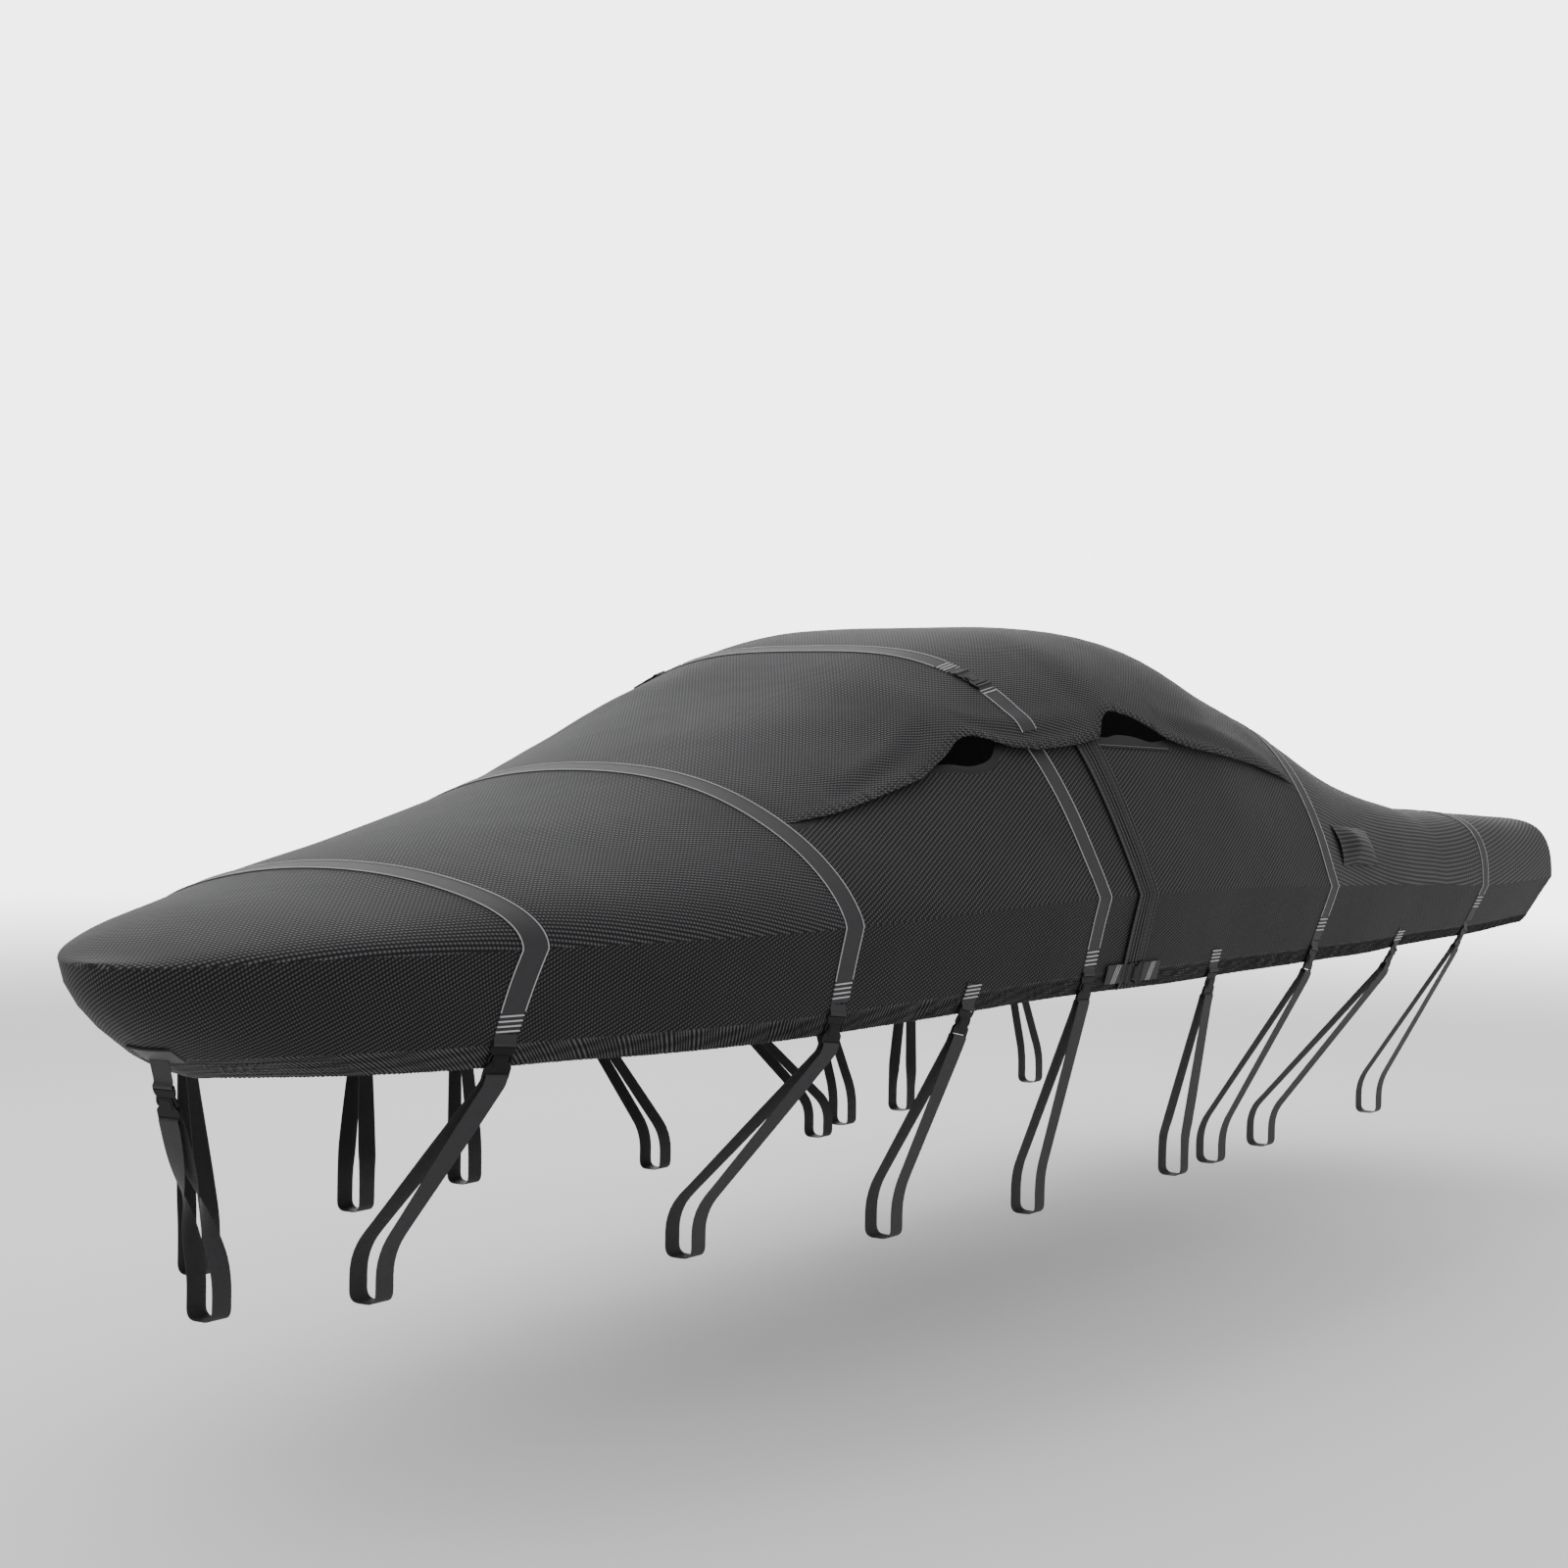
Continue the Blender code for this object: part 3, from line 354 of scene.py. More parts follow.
def weave_map(points, start=None, finer_at_bow=1.15):
    """Metres across and along the cloth from one column, its middle one unless another is named."""
    start = points.shape[1] // 2 if start is None else start
    finer = np.interp(points[..., 0], (0.4, 1.38), (finer_at_bow, 1.0))
    across = distances(points, 1)
    steps = np.diff(distances(points, 0)[:, start]) * (finer[1:, start] + finer[:-1, start]) / 2
    along = np.concatenate([[0], np.cumsum(steps)])[:, None] + np.zeros_like(across)
    return np.stack([(across - across[:, start][:, None]) * finer, along], axis=2)


def on_side(points, side):
    """Starboard points moved to this side, which is 1 or -1."""
    return np.asarray(points) * (1, side, 1)


def side_grid(grid, side):
    """A starboard grid moved to this side.  On port its columns run the other way round."""
    return on_side(grid, side)[:, ::side]


def whole(grid):
    """A grid from port to starboard, joined on the centre line."""
    return np.concatenate([side_grid(grid, -1)[:, :-1], grid], axis=1)


def ramp(values, low, high):
    t = np.clip((values - low) / (high - low), 0, 1)
    return t * t * (3 - 2 * t)


# %% [markdown]
# ## Soft unevenness
# Cloth that hangs over a frame is never quite even.  A smooth random field, made from a small seeded
# lattice, lifts and lowers the surface by a few millimetres.  It depends on the place alone, so what is
# sewn on the cloth rides over the same swells, and both sides of the cover are alike.

# %% A seeded field of soft swells
SWELL_SIZES = ((0.55, 0.0045), (0.22, 0.0020))  # length of a swell and its height, in metres
LATTICE = 48  # cells along each side of the random lattice
SPINE_WIDTH = 0.06  # of the strip along the spine where both sides' swells are blended


def soft_field(points, size, seed):
    """A smooth random value from -1 to 1 at each point, whose swells are about this many metres long."""
    lattice = np.random.default_rng(seed).uniform(-1, 1, (LATTICE, LATTICE, LATTICE))
    at = points / size + LATTICE / 2
    low = np.floor(at).astype(int)
    t = ramp(at - low, 0, 1)
    value = 0.0
    for corner in range(8):
        step = np.array([corner & 1, corner >> 1 & 1, corner >> 2 & 1])
        weight = np.prod(np.where(step == 1, t, 1 - t), axis=-1)
        i = (low + step) % LATTICE
        value = value + weight * lattice[i[..., 0], i[..., 1], i[..., 2]]
    return value


def swell(points, shares):
    """How far the cloth stands off the even surface: nothing at the crease, most in mid panel."""
    even = points.copy()
    even[..., 1] = np.sqrt(points[..., 1] ** 2 + SPINE_WIDTH**2)
    lift = 0.0
    for seed, (size, height) in enumerate(SWELL_SIZES):
        lift = lift + height * soft_field(even, size, seed)
    return lift * np.where(shares <= 1, 1 - ramp(shares, 0.88, 1.0), ramp(shares - 1, 0.0, 0.3))


def lifted(points, shares, stand=0.0):
    """The grid on its swells, and this far above them."""
    shares = np.broadcast_to(shares, points.shape[:2])
    stand = np.broadcast_to(stand, points.shape[:2])
    return points + (swell(points, shares) + stand)[..., None] * normals_of(points)


def both_ways(values):
    """Shares of a half row, written out from port to starboard."""
    return np.concatenate([values[..., ::-1][..., :-1], values], axis=-1)


print("swells of", [f"{size * 1000:.0f} mm" for size, _ in SWELL_SIZES])

# %% [markdown]
# ## Making a sheet
# A sheet is one skin of quads with texture coordinates in metres.  A Solidify modifier gives it its
# thickness inwards, so its outer face stays where the solid's outer face is, and the new inner face
# takes the second material, the black coating on the back of the cloth, kept near black as painted
# shade so that the openings and gaps read dark.

# %% Make meshes
LEAST_FILLED = 0.3  # of the rectangle that a sheet is cut from


def keep_borders_crisp(mesh):
    """An open border is shaded as an edge, so a seam between two sheets doesn't show as a line."""
    used = np.zeros(len(mesh.loops), dtype=int)
    mesh.loops.foreach_get("edge_index", used)
    mesh.edges.foreach_set("use_edge_sharp", np.bincount(used, minlength=len(mesh.edges)) == 1)


def add_coordinates(mesh, name, coordinates):
    corners = np.zeros(len(mesh.loops), dtype=int)
    mesh.loops.foreach_get("vertex_index", corners)
    layer = mesh.uv_layers.new(name=name)
    layer.data.foreach_set("uv", np.asarray(coordinates).reshape(-1, 2)[corners].ravel())


def add_mesh(name, points, faces, finishes, coordinates=None):
    mesh = bpy.data.meshes.new(name)
    mesh.from_pydata(np.asarray(points, dtype=float).tolist(), [], faces)
    for finish in finishes:
        mesh.materials.append(finish)
    mesh.polygons.foreach_set("use_smooth", [True] * len(mesh.polygons))
    keep_borders_crisp(mesh)
    if coordinates is not None:
        add_coordinates(mesh, "metres", coordinates)
    obj = bpy.data.objects.new(name, mesh)
    bpy.context.scene.collection.objects.link(obj)
    return obj


def add_object(name, points, faces, finishes, coordinates=None):
    """A mesh whose points are given as stations and heights above the floor."""
    placed = np.asarray(points, dtype=float) - np.array([ORIGIN_STATION, 0, ORIGIN_HEIGHT])
    return add_mesh(name, placed, faces, finishes, coordinates)


def grid_faces(rows, columns, closed_columns=False):
    faces = []
    for i in range(rows - 1):
        for j in range(columns if closed_columns else columns - 1):
            a, d = i * columns + j, i * columns + (j + 1) % columns
            faces.append((a, a + columns, d + columns, d))
    return faces


def thicken(obj, thickness, offset):
    solid = obj.modifiers.new("thickness", "SOLIDIFY")
    solid.thickness = thickness
    solid.offset = offset
    solid.use_even_offset = False
    solid.material_offset = 1
    solid.material_offset_rim = 0


def sheet(
    name, points, finish, back=None, thickness=CLOTH, offset=-1.0, trim=None, trimmed=None, metres=None
):
    """A thick sheet; the columns of faces that are marked in trimmed take the finish of the trim."""
    rows, columns = points.shape[:2]
    finishes = [finish, back or finish, trim or finish]
    metres = (weave_map(points) if metres is None else metres).reshape(-1, 2)
    obj = add_object(name, points.reshape(-1, 3), grid_faces(rows, columns), finishes, metres)
    if trimmed is not None:
        index = np.where(np.broadcast_to(trimmed, (rows - 1, columns - 1)), 2, 0)
        obj.data.polygons.foreach_set("material_index", index.ravel().astype(np.int32))
    thicken(obj, thickness, offset)
    return obj


def cut_size(points):
    """The width and length of a sheet's flat cut, and the area of its skin."""
    width = float(distances(points, 1)[:, -1].max())
    length = float(distances(points, 0)[-1].max())
    a, b, c, d = points[:-1, :-1], points[1:, :-1], points[1:, 1:], points[:-1, 1:]
    area = np.linalg.norm(np.cross(b - a, c - a), axis=2) + np.linalg.norm(np.cross(c - a, d - a), axis=2)
    return width, length, float(area.sum() / 2)


def finish_piece(obj, slot, *nodes):
    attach(obj, "root")
    if nodes:
        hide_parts(*nodes)


def finish_sheet(obj, points, held, rests_on, slot, *nodes):
    """The replacement of one sheet, and how it was cut.  Its ride and its slot are not used."""
    finish_piece(obj, slot, *nodes)
    width, length, area = cut_size(points)
    area = min(max(area, LEAST_FILLED * width * length), width * length)
    print(f"{obj.name}: {width:.3f} x {length:.3f} m, {area:.3f} m2")


# %% [markdown]
# ## Colour and nodes
# Colours are written as the hex values that a picture editor shows and are turned to linear light by one
# function.  One small function adds a node of any kind, sets it and plugs it in, and gives its output
# back, so each material reads as a list.

# %% Colour and node helpers
def linear(code):
    values = [int(code[k : k + 2], 16) / 255 for k in (1, 3, 5)]
    light = [v / 12.92 if v <= 0.04045 else ((v + 0.055) / 1.055) ** 2.4 for v in values]
    return (*light, 1.0)


def plug(node, inputs):
    """Sets the inputs of a node by name.  A socket is linked, and anything else is a value."""
    for name, value in inputs.items():
        if isinstance(value, bpy.types.NodeSocket):
            node.id_data.links.new(value, node.inputs[name])
        else:
            node.inputs[name].default_value = value


def add(tree, kind, inputs=None, output=0, **settings):
    """The output of a new shader node with these inputs and settings."""
    made = tree.nodes.new("ShaderNode" + kind)
    for name, value in settings.items():
        setattr(made, name, value)
    plug(made, inputs or {})
    return made.outputs[output]


def new_material(name, **shader_values):
    made = bpy.data.materials.new(name)
    made.use_nodes = True
    shader = made.node_tree.nodes["Principled BSDF"]
    for socket, value in shader_values.items():
        shader.inputs[socket.replace("_", " ")].default_value = value
    return made, made.node_tree, shader


# %% [markdown]
# ## Coated woven polyester
# The cloth is a heavy polyester with a black coating on its back, which is kept near black as painted
# shade.  The eye reads it as dark grey with rows of small paler dashes, each a float of the weave that
# catches a little light.  Two sets of fine ribs cross, and a float shows where two ribs meet.  The real
# floats are about 1 mm long, too fine to show on a thing 8 m long, so they are drawn about ten times
# coarser, as large as the dashes that the photograph shows.

# %% The cloth
WAVE_UNIT = 0.314  # a Wave texture of scale 1 repeats after this many metres


def ribs_of(tree, metres, angle, pitch):
    turned = add(tree, "Mapping", {"Vector": metres, "Rotation": (0, 0, math.radians(angle))})
    wobble = {"Distortion": 0.5, "Detail": 2.0, "Detail Scale": 0.35}
    wave = {"Vector": turned, "Scale": WAVE_UNIT / pitch, **wobble}
    return add(tree, "TexWave", wave, "Fac", bands_direction="X")


def woven_polyester(name, shade, float_shade, ribs, whole_share=0.25, layer="metres"):
    made, tree, shader = new_material(
        name, Roughness=0.82, IOR=1.5, Specular_IOR_Level=0.25, Sheen_Weight=0.05
    )
    metres = add(tree, "UVMap", uv_map=layer)
    rows = ribs_of(tree, metres, *ribs[0])
    breaks = ribs_of(tree, metres, *ribs[1])
    strong = add(tree, "MapRange", {"Value": breaks, "To Min": whole_share, "To Max": 1.0})
    meet = add(tree, "Math", {0: rows, 1: strong}, operation="MULTIPLY")
    steep = {"Value": meet, "From Min": 0.2, "From Max": 0.8}
    floats = add(tree, "MapRange", steep, interpolation_type="SMOOTHSTEP")
    cloud = {"Vector": metres, "Scale": 1.7, "Detail": 6.0, "Roughness": 0.62}
    patches = {"Value": add(tree, "TexNoise", cloud, "Fac"), "From Min": 0.3, "From Max": 0.7}
    tone = add(tree, "MapRange", {**patches, "To Min": 0.86, "To Max": 1.14})
    woven = add(tree, "Mix", {0: floats, 6: linear(shade), 7: linear(float_shade)}, 2, data_type="RGBA")
    colour = add(tree, "Mix", {0: 1.0, 6: woven, 7: tone}, 2, data_type="RGBA", blend_type="MULTIPLY")
    rough = add(tree, "MapRange", {"Value": floats, "To Min": 0.88, "To Max": 0.68})
    crumple = add(tree, "TexNoise", {"Vector": metres, "Scale": 7.0, "Detail": 3.0}, "Fac")
    weave = add(tree, "Bump", {"Height": meet, "Strength": 0.6, "Distance": 0.0012})
    bump = add(tree, "Bump", {"Height": crumple, "Strength": 0.2, "Distance": 0.008, "Normal": weave})
    plug(shader, {"Base Color": colour, "Roughness": rough, "Normal": bump})
    return made


DECK_RIBS = ((-30.0, 0.0116), (88.0, 0.0108))  # angle in degrees and pitch in metres of rows and of breaks
SIDE_RIBS = ((27.0, 0.0120), (86.0, 0.0105))
AFT_RIBS = ((0.0, 0.0180), (88.0, 0.0120))
PLACKET_RIBS = ((90.0, 0.0112), (4.0, 0.0140))
PLEAT_PITCH = 0.0120
PLEAT_HIGHLIGHT_RIBS = ((90.0, PLEAT_PITCH), (15.0, 0.0350))
DECK_CLOTH = woven_polyester("woven polyester, top", "#18181a", "#545456", DECK_RIBS, 0.3)
# The aft top is a lighter copy of the top's cloth, painted light, with its own lengthwise ribs.
AFT_CLOTH_PAINTED_LIGHT = woven_polyester("woven polyester, aft top, lighter as painted light", "#2a2a2b", "#4d4d4e", AFT_RIBS, 0.5)
# The sides and the skirt are darker copies of the top's cloth: painted shade on their upright faces.
SIDE_CLOTH_PAINTED_SHADE = woven_polyester("woven polyester, sides, darker as painted shade", "#101011", "#4e4e50", SIDE_RIBS)
SKIRT_CLOTH_PAINTED_SHADE = woven_polyester("woven polyester, skirt, darker as painted shade", "#0e0e0f", "#434345", SIDE_RIBS, 0.35)
# The hem is a darker copy, painted shade, and its pale rows fall on the pleat crests as painted highlights.
HEM_CLOTH_PAINTED_LIGHT_AND_SHADE = woven_polyester("gathered polyester hem, painted shade and pleat highlights", "#111112", "#525254", PLEAT_HIGHLIGHT_RIBS, 0.6, layer="pleats")
PLACKET_CLOTH = woven_polyester("ribbed polyester flap", "#1c1c1d", "#454547", PLACKET_RIBS, 0.7)
print("ribs", [f"{pitch * 1000:.1f} mm at {angle:.0f} degrees" for angle, pitch in DECK_RIBS])

# %% [markdown]
# ## Coating, webbing, piping, tape and moulded buckles
# The coating is a matt black that drinks the light, kept this dark as painted shade, so that the openings
# read as dark.  Polyester webbing is woven tight and flat with fine cross ribs, and looks smoother than
# the cloth.  The piping along the bands and the short bars at their ends are a pale woven tape that shines
# a little.  The buckles are acetal, moulded, so they are smooth with a faint grain and a soft highlight.

# %% The other finishes
RIB_PITCH = 0.006  # real ribs are about 2 mm apart, drawn coarser so that they show


# The back face is near black: a coating, and painted shade for the openings, the gaps and the vent's mouth.
def black_coating_and_painted_shade():
    made, tree, shader = new_material(
        "black polyurethane coating, painted shade", Roughness=0.95, Specular_IOR_Level=0.05
    )
    place = add(tree, "TexCoord", output="Object")
    cloud = add(tree, "TexNoise", {"Vector": place, "Scale": 5.0, "Detail": 4.0}, "Fac")
    colour = add(tree, "Mix", {0: cloud, 6: linear("#050505"), 7: linear("#0c0c0c")}, 2, data_type="RGBA")
    plug(shader, {"Base Color": colour})
    return made


def woven_webbing(name, shade, pale, roughness, pitch=RIB_PITCH):
    made, tree, shader = new_material(
        name, Roughness=roughness, IOR=1.5, Specular_IOR_Level=0.3, Sheen_Weight=0.04
    )
    metres = add(tree, "UVMap", uv_map="metres")
    wobble = {"Distortion": 0.6, "Detail": 1.0, "Detail Scale": 2.0}
    wave = {"Vector": metres, "Scale": WAVE_UNIT / pitch, **wobble}
    ribs = add(tree, "TexWave", wave, "Fac", bands_direction="Y")
    spots = add(tree, "TexNoise", {"Vector": metres, "Scale": 30.0, "Detail": 4.0}, "Fac")
    blend = add(tree, "Math", {0: ribs, 1: spots}, operation="MULTIPLY")
    colour = add(tree, "Mix", {0: blend, 6: linear(shade), 7: linear(pale)}, 2, data_type="RGBA")
    bump = add(tree, "Bump", {"Height": ribs, "Strength": 0.35, "Distance": 0.0008})
    plug(shader, {"Base Color": colour, "Normal": bump})
    return made


def moulded_acetal():
    made, tree, shader = new_material("moulded acetal", Roughness=0.5, IOR=1.48, Specular_IOR_Level=0.2)
    place = add(tree, "TexCoord", output="Object")
    grain = add(tree, "TexNoise", {"Vector": place, "Scale": 420.0, "Detail": 2.0}, "Fac")
    cloud = add(tree, "TexNoise", {"Vector": place, "Scale": 18.0, "Detail": 4.0}, "Fac")
    rough = add(tree, "MapRange", {"Value": cloud, "To Min": 0.42, "To Max": 0.60})
    colour = add(tree, "Mix", {0: cloud, 6: linear("#0d0d0e"), 7: linear("#171718")}, 2, data_type="RGBA")
    bump = add(tree, "Bump", {"Height": grain, "Strength": 0.15, "Distance": 0.0003})
    plug(shader, {"Base Color": colour, "Roughness": rough, "Normal": bump})
    return made


COATING_AND_PAINTED_SHADE = black_coating_and_painted_shade()
BAND_WEBBING = woven_webbing("polyester band webbing", "#2e2e30", "#373739", 0.66)
LOOP_WEBBING = woven_webbing("polyester loop webbing", "#2e2e30", "#3c3c3e", 0.7)
PATCH_WEBBING = woven_webbing("polyester patch webbing", "#404042", "#4e4e50", 0.6)
BINDING = woven_webbing("polyester binding tape", "#19191a", "#242425", 0.75)
PIPING = woven_webbing("pale polyester piping", "#a8a8aa", "#c4c4c6", 0.5, pitch=0.004)
THREAD = woven_webbing("grey polyester thread", "#77777a", "#8a8a8c", 0.6, pitch=0.004)
PALE_TAPE = woven_webbing("pale woven tape", "#bcbcbe", "#d0d0d2", 0.5, pitch=0.004)
ACETAL = moulded_acetal()

# %% [markdown]
# ## The decks
# The two deck panels close the cover before and behind the slit.  Their rows are closest at the bow end,
# where the outline turns fast, and their columns are closest at the crease.

# %% Deck panels
DECK_COLUMNS = 46
TOP_SHARES = 1 - (1 - np.linspace(0, 1, DECK_COLUMNS)) ** 1.35
SEAM_GAP = 0.00015


def spaced(first, last, step):
    count = max(int(math.ceil((last - first) / step)), 1)
    return np.linspace(first, last, count + 1)


FRONT_STATIONS = np.concatenate(
    [np.linspace(0.0, 0.9, 62) ** 2, spaced(0.81, BANDS["band_2"] - SEAM_GAP, 0.017)[1:]]
)
AFT_STATIONS = spaced(BANDS["band_5"] + SEAM_GAP, PATH_END, 0.017)


def make_deck(name, stations, finish):
    points = lifted(whole(grid_of(stations, TOP_SHARES)), both_ways(TOP_SHARES))
    metres = weave_map(points, finer_at_bow=0.95)
    obj = sheet(name + "_cloth", points, finish, COATING_AND_PAINTED_SHADE, metres=metres)
    finish_sheet(obj, points, "stretched", [], "cloth", name)


make_deck("deck_front", FRONT_STATIONS, DECK_CLOTH)
make_deck("deck_aft", AFT_STATIONS, AFT_CLOTH_PAINTED_LIGHT)

# %% [markdown]
# ## The hood and the sides
# Between the two decks the top is in three: a hood on the crown and a side panel below it on each side.
# The hood's free edge flares off the side and is gathered into fine ribs by its elastic.  Twice on each
# side it is lifted, so that the slit gapes.

# %% Hood and sides
HOOD_STEP = 0.0050
HOOD_COLUMNS = 24
EDGE_COLUMNS = 7
GATHER_LENGTH = 0.045  # of cloth at the free edge that the elastic gathers
GATHER_PITCH = 0.0165
GATHER_HEIGHT = 0.0045
FLARE_SHARE = 0.30
WANDER = 0.8  # ribs by which a rib's place wanders at most
WANDER_STEP = 0.05  # metres from one random value to the next
WANDER_COUNT = 4000
MID_STATIONS = spaced(BANDS["band_2"] + SEAM_GAP, BANDS["band_5"] - SEAM_GAP, HOOD_STEP)
SIDE_STATIONS = np.append(MID_STATIONS[:-1:3], MID_STATIONS[-1])
SIDE_COLUMNS = 22
BOUND_COLUMNS = 4  # across the bound strip along its top edge
SEWN_STRIP = 0.033
BOUND_PUFF = 0.0022


def flare(station, shares, edge_share):
    return slit_value("flare", station) * ramp(shares, edge_share - FLARE_SHARE, edge_share)


def edge_share(station):
    return share_at_height(station, slit_value("edge", station))


FOLD_COLUMNS = "fore aft above_fore above_aft height width".split()
FOLDS = (
    (3.98, 4.86, 0.125, 0.060, 0.011, 0.034),
    (4.02, 4.70, 0.060, 0.030, -0.006, 0.026),
    (2.22, 2.84, 0.050, 0.110, -0.007, 0.030),
    (2.30, 2.86, 0.110, 0.190, 0.007, 0.036),
    (2.95, 3.56, 0.120, 0.105, 0.007, 0.040),
    (2.95, 3.56, 0.065, 0.055, -0.005, 0.026),
)


def fold_lift(station, above_edge):
    """Soft ridges and troughs that run along the free edge, this far above it at their two ends."""
    lift = np.zeros_like(above_edge)
    for values in FOLDS:
        fold = dict(zip(FOLD_COLUMNS, values))
        t = np.clip((station - fold["fore"]) / (fold["aft"] - fold["fore"]), 0, 1)
        middle = (1 - t) * fold["above_fore"] + t * fold["above_aft"]
        away = (above_edge - middle) / fold["width"]
        lift += fold["height"] * math.sin(math.pi * t) ** 0.7 * np.exp(-(away**2))
    return lift


def hood_surface(stations, shares):
    """The even points of the hood at these shares, and how far it stands off them."""
    shares = np.broadcast_to(shares, (len(stations), np.shape(shares)[-1]))
    stand = []
    for station, row in zip(stations, shares):
        edge = edge_share(station)
        above_edge = (edge - row) * top_outline(station)[2]
        stand.append(flare(station, row, edge) + fold_lift(station, above_edge))
    return grid_of(stations, shares), np.array(stand)


def hood_row(station):
    """Shares, and how much each point belongs to the gathered edge."""
    edge = edge_share(station)
    gather = GATHER_LENGTH / top_outline(station)[2]
    inner = (edge - gather) * (1 - (1 - np.linspace(0, 1, HOOD_COLUMNS)) ** 1.5)
    outer = np.linspace(edge - gather, edge, EDGE_COLUMNS + 1)[1:]
    shares = np.concatenate([inner, outer])
    return shares, ramp(shares, edge - 1.3 * gather, edge)


def rib_phase(along, pitch, seed):
    """How many ribs lie before each place of a row of ribs whose width wanders a little."""
    wander = np.random.default_rng(seed).uniform(-1, 1, WANDER_COUNT)
    place = along / WANDER_STEP
    low = np.floor(place).astype(int) % (WANDER_COUNT - 1)
    t = place - np.floor(place)
    return along / pitch + WANDER * ((1 - t) * wander[low] + t * wander[low + 1])


def rib_wave(along, pitch, seed):
    return 0.5 + 0.5 * np.sin(2 * math.pi * rib_phase(along, pitch, seed))


def make_hood():
    rows = [hood_row(s) for s in MID_STATIONS]
    shares, gathered = (np.array(part) for part in zip(*rows))
    half, stand = hood_surface(MID_STATIONS, shares)
    opens = ramp(MID_STATIONS, 1.98, 2.10) * (1 - ramp(MID_STATIONS, 4.90, 5.02))
    ribs = rib_wave(MID_STATIONS, GATHER_PITCH, 3) * GATHER_HEIGHT * opens
    points = lifted(whole(half), both_ways(shares), both_ways(stand + gathered * ribs[:, None]))
    obj = sheet("hood_cloth", points, DECK_CLOTH, COATING_AND_PAINTED_SHADE)
    finish_sheet(obj, points, "draped", ["side_port", "side_starboard"], "cloth", "hood")


def side_top(station):
    return share_at_height(station, slit_value("top", station))


def side_row(station):
    """Shares of the bound strip, and then down to the crease."""
    top, strip = side_top(station), SEWN_STRIP / top_outline(station)[2]
    bound = np.linspace(top, top + strip, BOUND_COLUMNS + 1)
    return np.concatenate([bound, np.linspace(top + strip, 1, SIDE_COLUMNS)[1:]])


def make_sides():
    shares = np.array([side_row(s) for s in SIDE_STATIONS])
    puff = BOUND_PUFF * np.sin(np.linspace(0.2, math.pi, BOUND_COLUMNS + 1))
    puff = np.append(puff, np.zeros(SIDE_COLUMNS - 1))
    points = lifted(grid_of(SIDE_STATIONS, shares), shares, puff)
    bound = np.arange(shares.shape[1] - 1) < BOUND_COLUMNS
    for word, side in SIDES.items():
        placed = side_grid(points, side)
        metres = weave_map(placed, -1 if side > 0 else 0)
        trims = {"trim": BINDING, "trimmed": bound[::side], "metres": metres}
        obj = sheet(f"side_{word}_cloth", placed, SIDE_CLOTH_PAINTED_SHADE, COATING_AND_PAINTED_SHADE, **trims)
        finish_sheet(obj, placed, "stretched", [f"skirt_{word}"], "cloth", f"side_{word}")


make_hood()
make_sides()

# %% [markdown]
# ## The skirts and their gathered hem
# A skirt hangs from the crease, all round.  An elastic in its lowest fifth draws the cloth into small
# slanted pleats.  The pleats are real geometry: a wave whose height grows from nothing where the elastic
# begins.  A second texture layer counts the pleats, so each pale line of the hem lies on a pleat's crest
# as a painted highlight.

# %% Skirts
SKIRT_STEP = 0.0030
PLEAT_HEIGHT = 0.0055
# stations, and by how many pleats the foot of a pleat lies aft there
PLEAT_SLANTS = ((0.0, 1.0, 2.2, 3.4, 9.2), (3.6, 2.6, -1.7, -2.6, -2.6))
PLEAT_START = 0.80  # share of the skirt where the elastic begins
SKIRT_CELLS = 4  # down to the elastic, and then this many more
HEM_CELLS = 7
SKIRT_DROPS = np.concatenate(
    [np.linspace(0, PLEAT_START, SKIRT_CELLS + 1), np.linspace(PLEAT_START, 1.0, HEM_CELLS + 1)[1:]]
)
SKIRT_GAP = 0.0003
DECKS = ["deck_front_cloth", "deck_aft_cloth"]


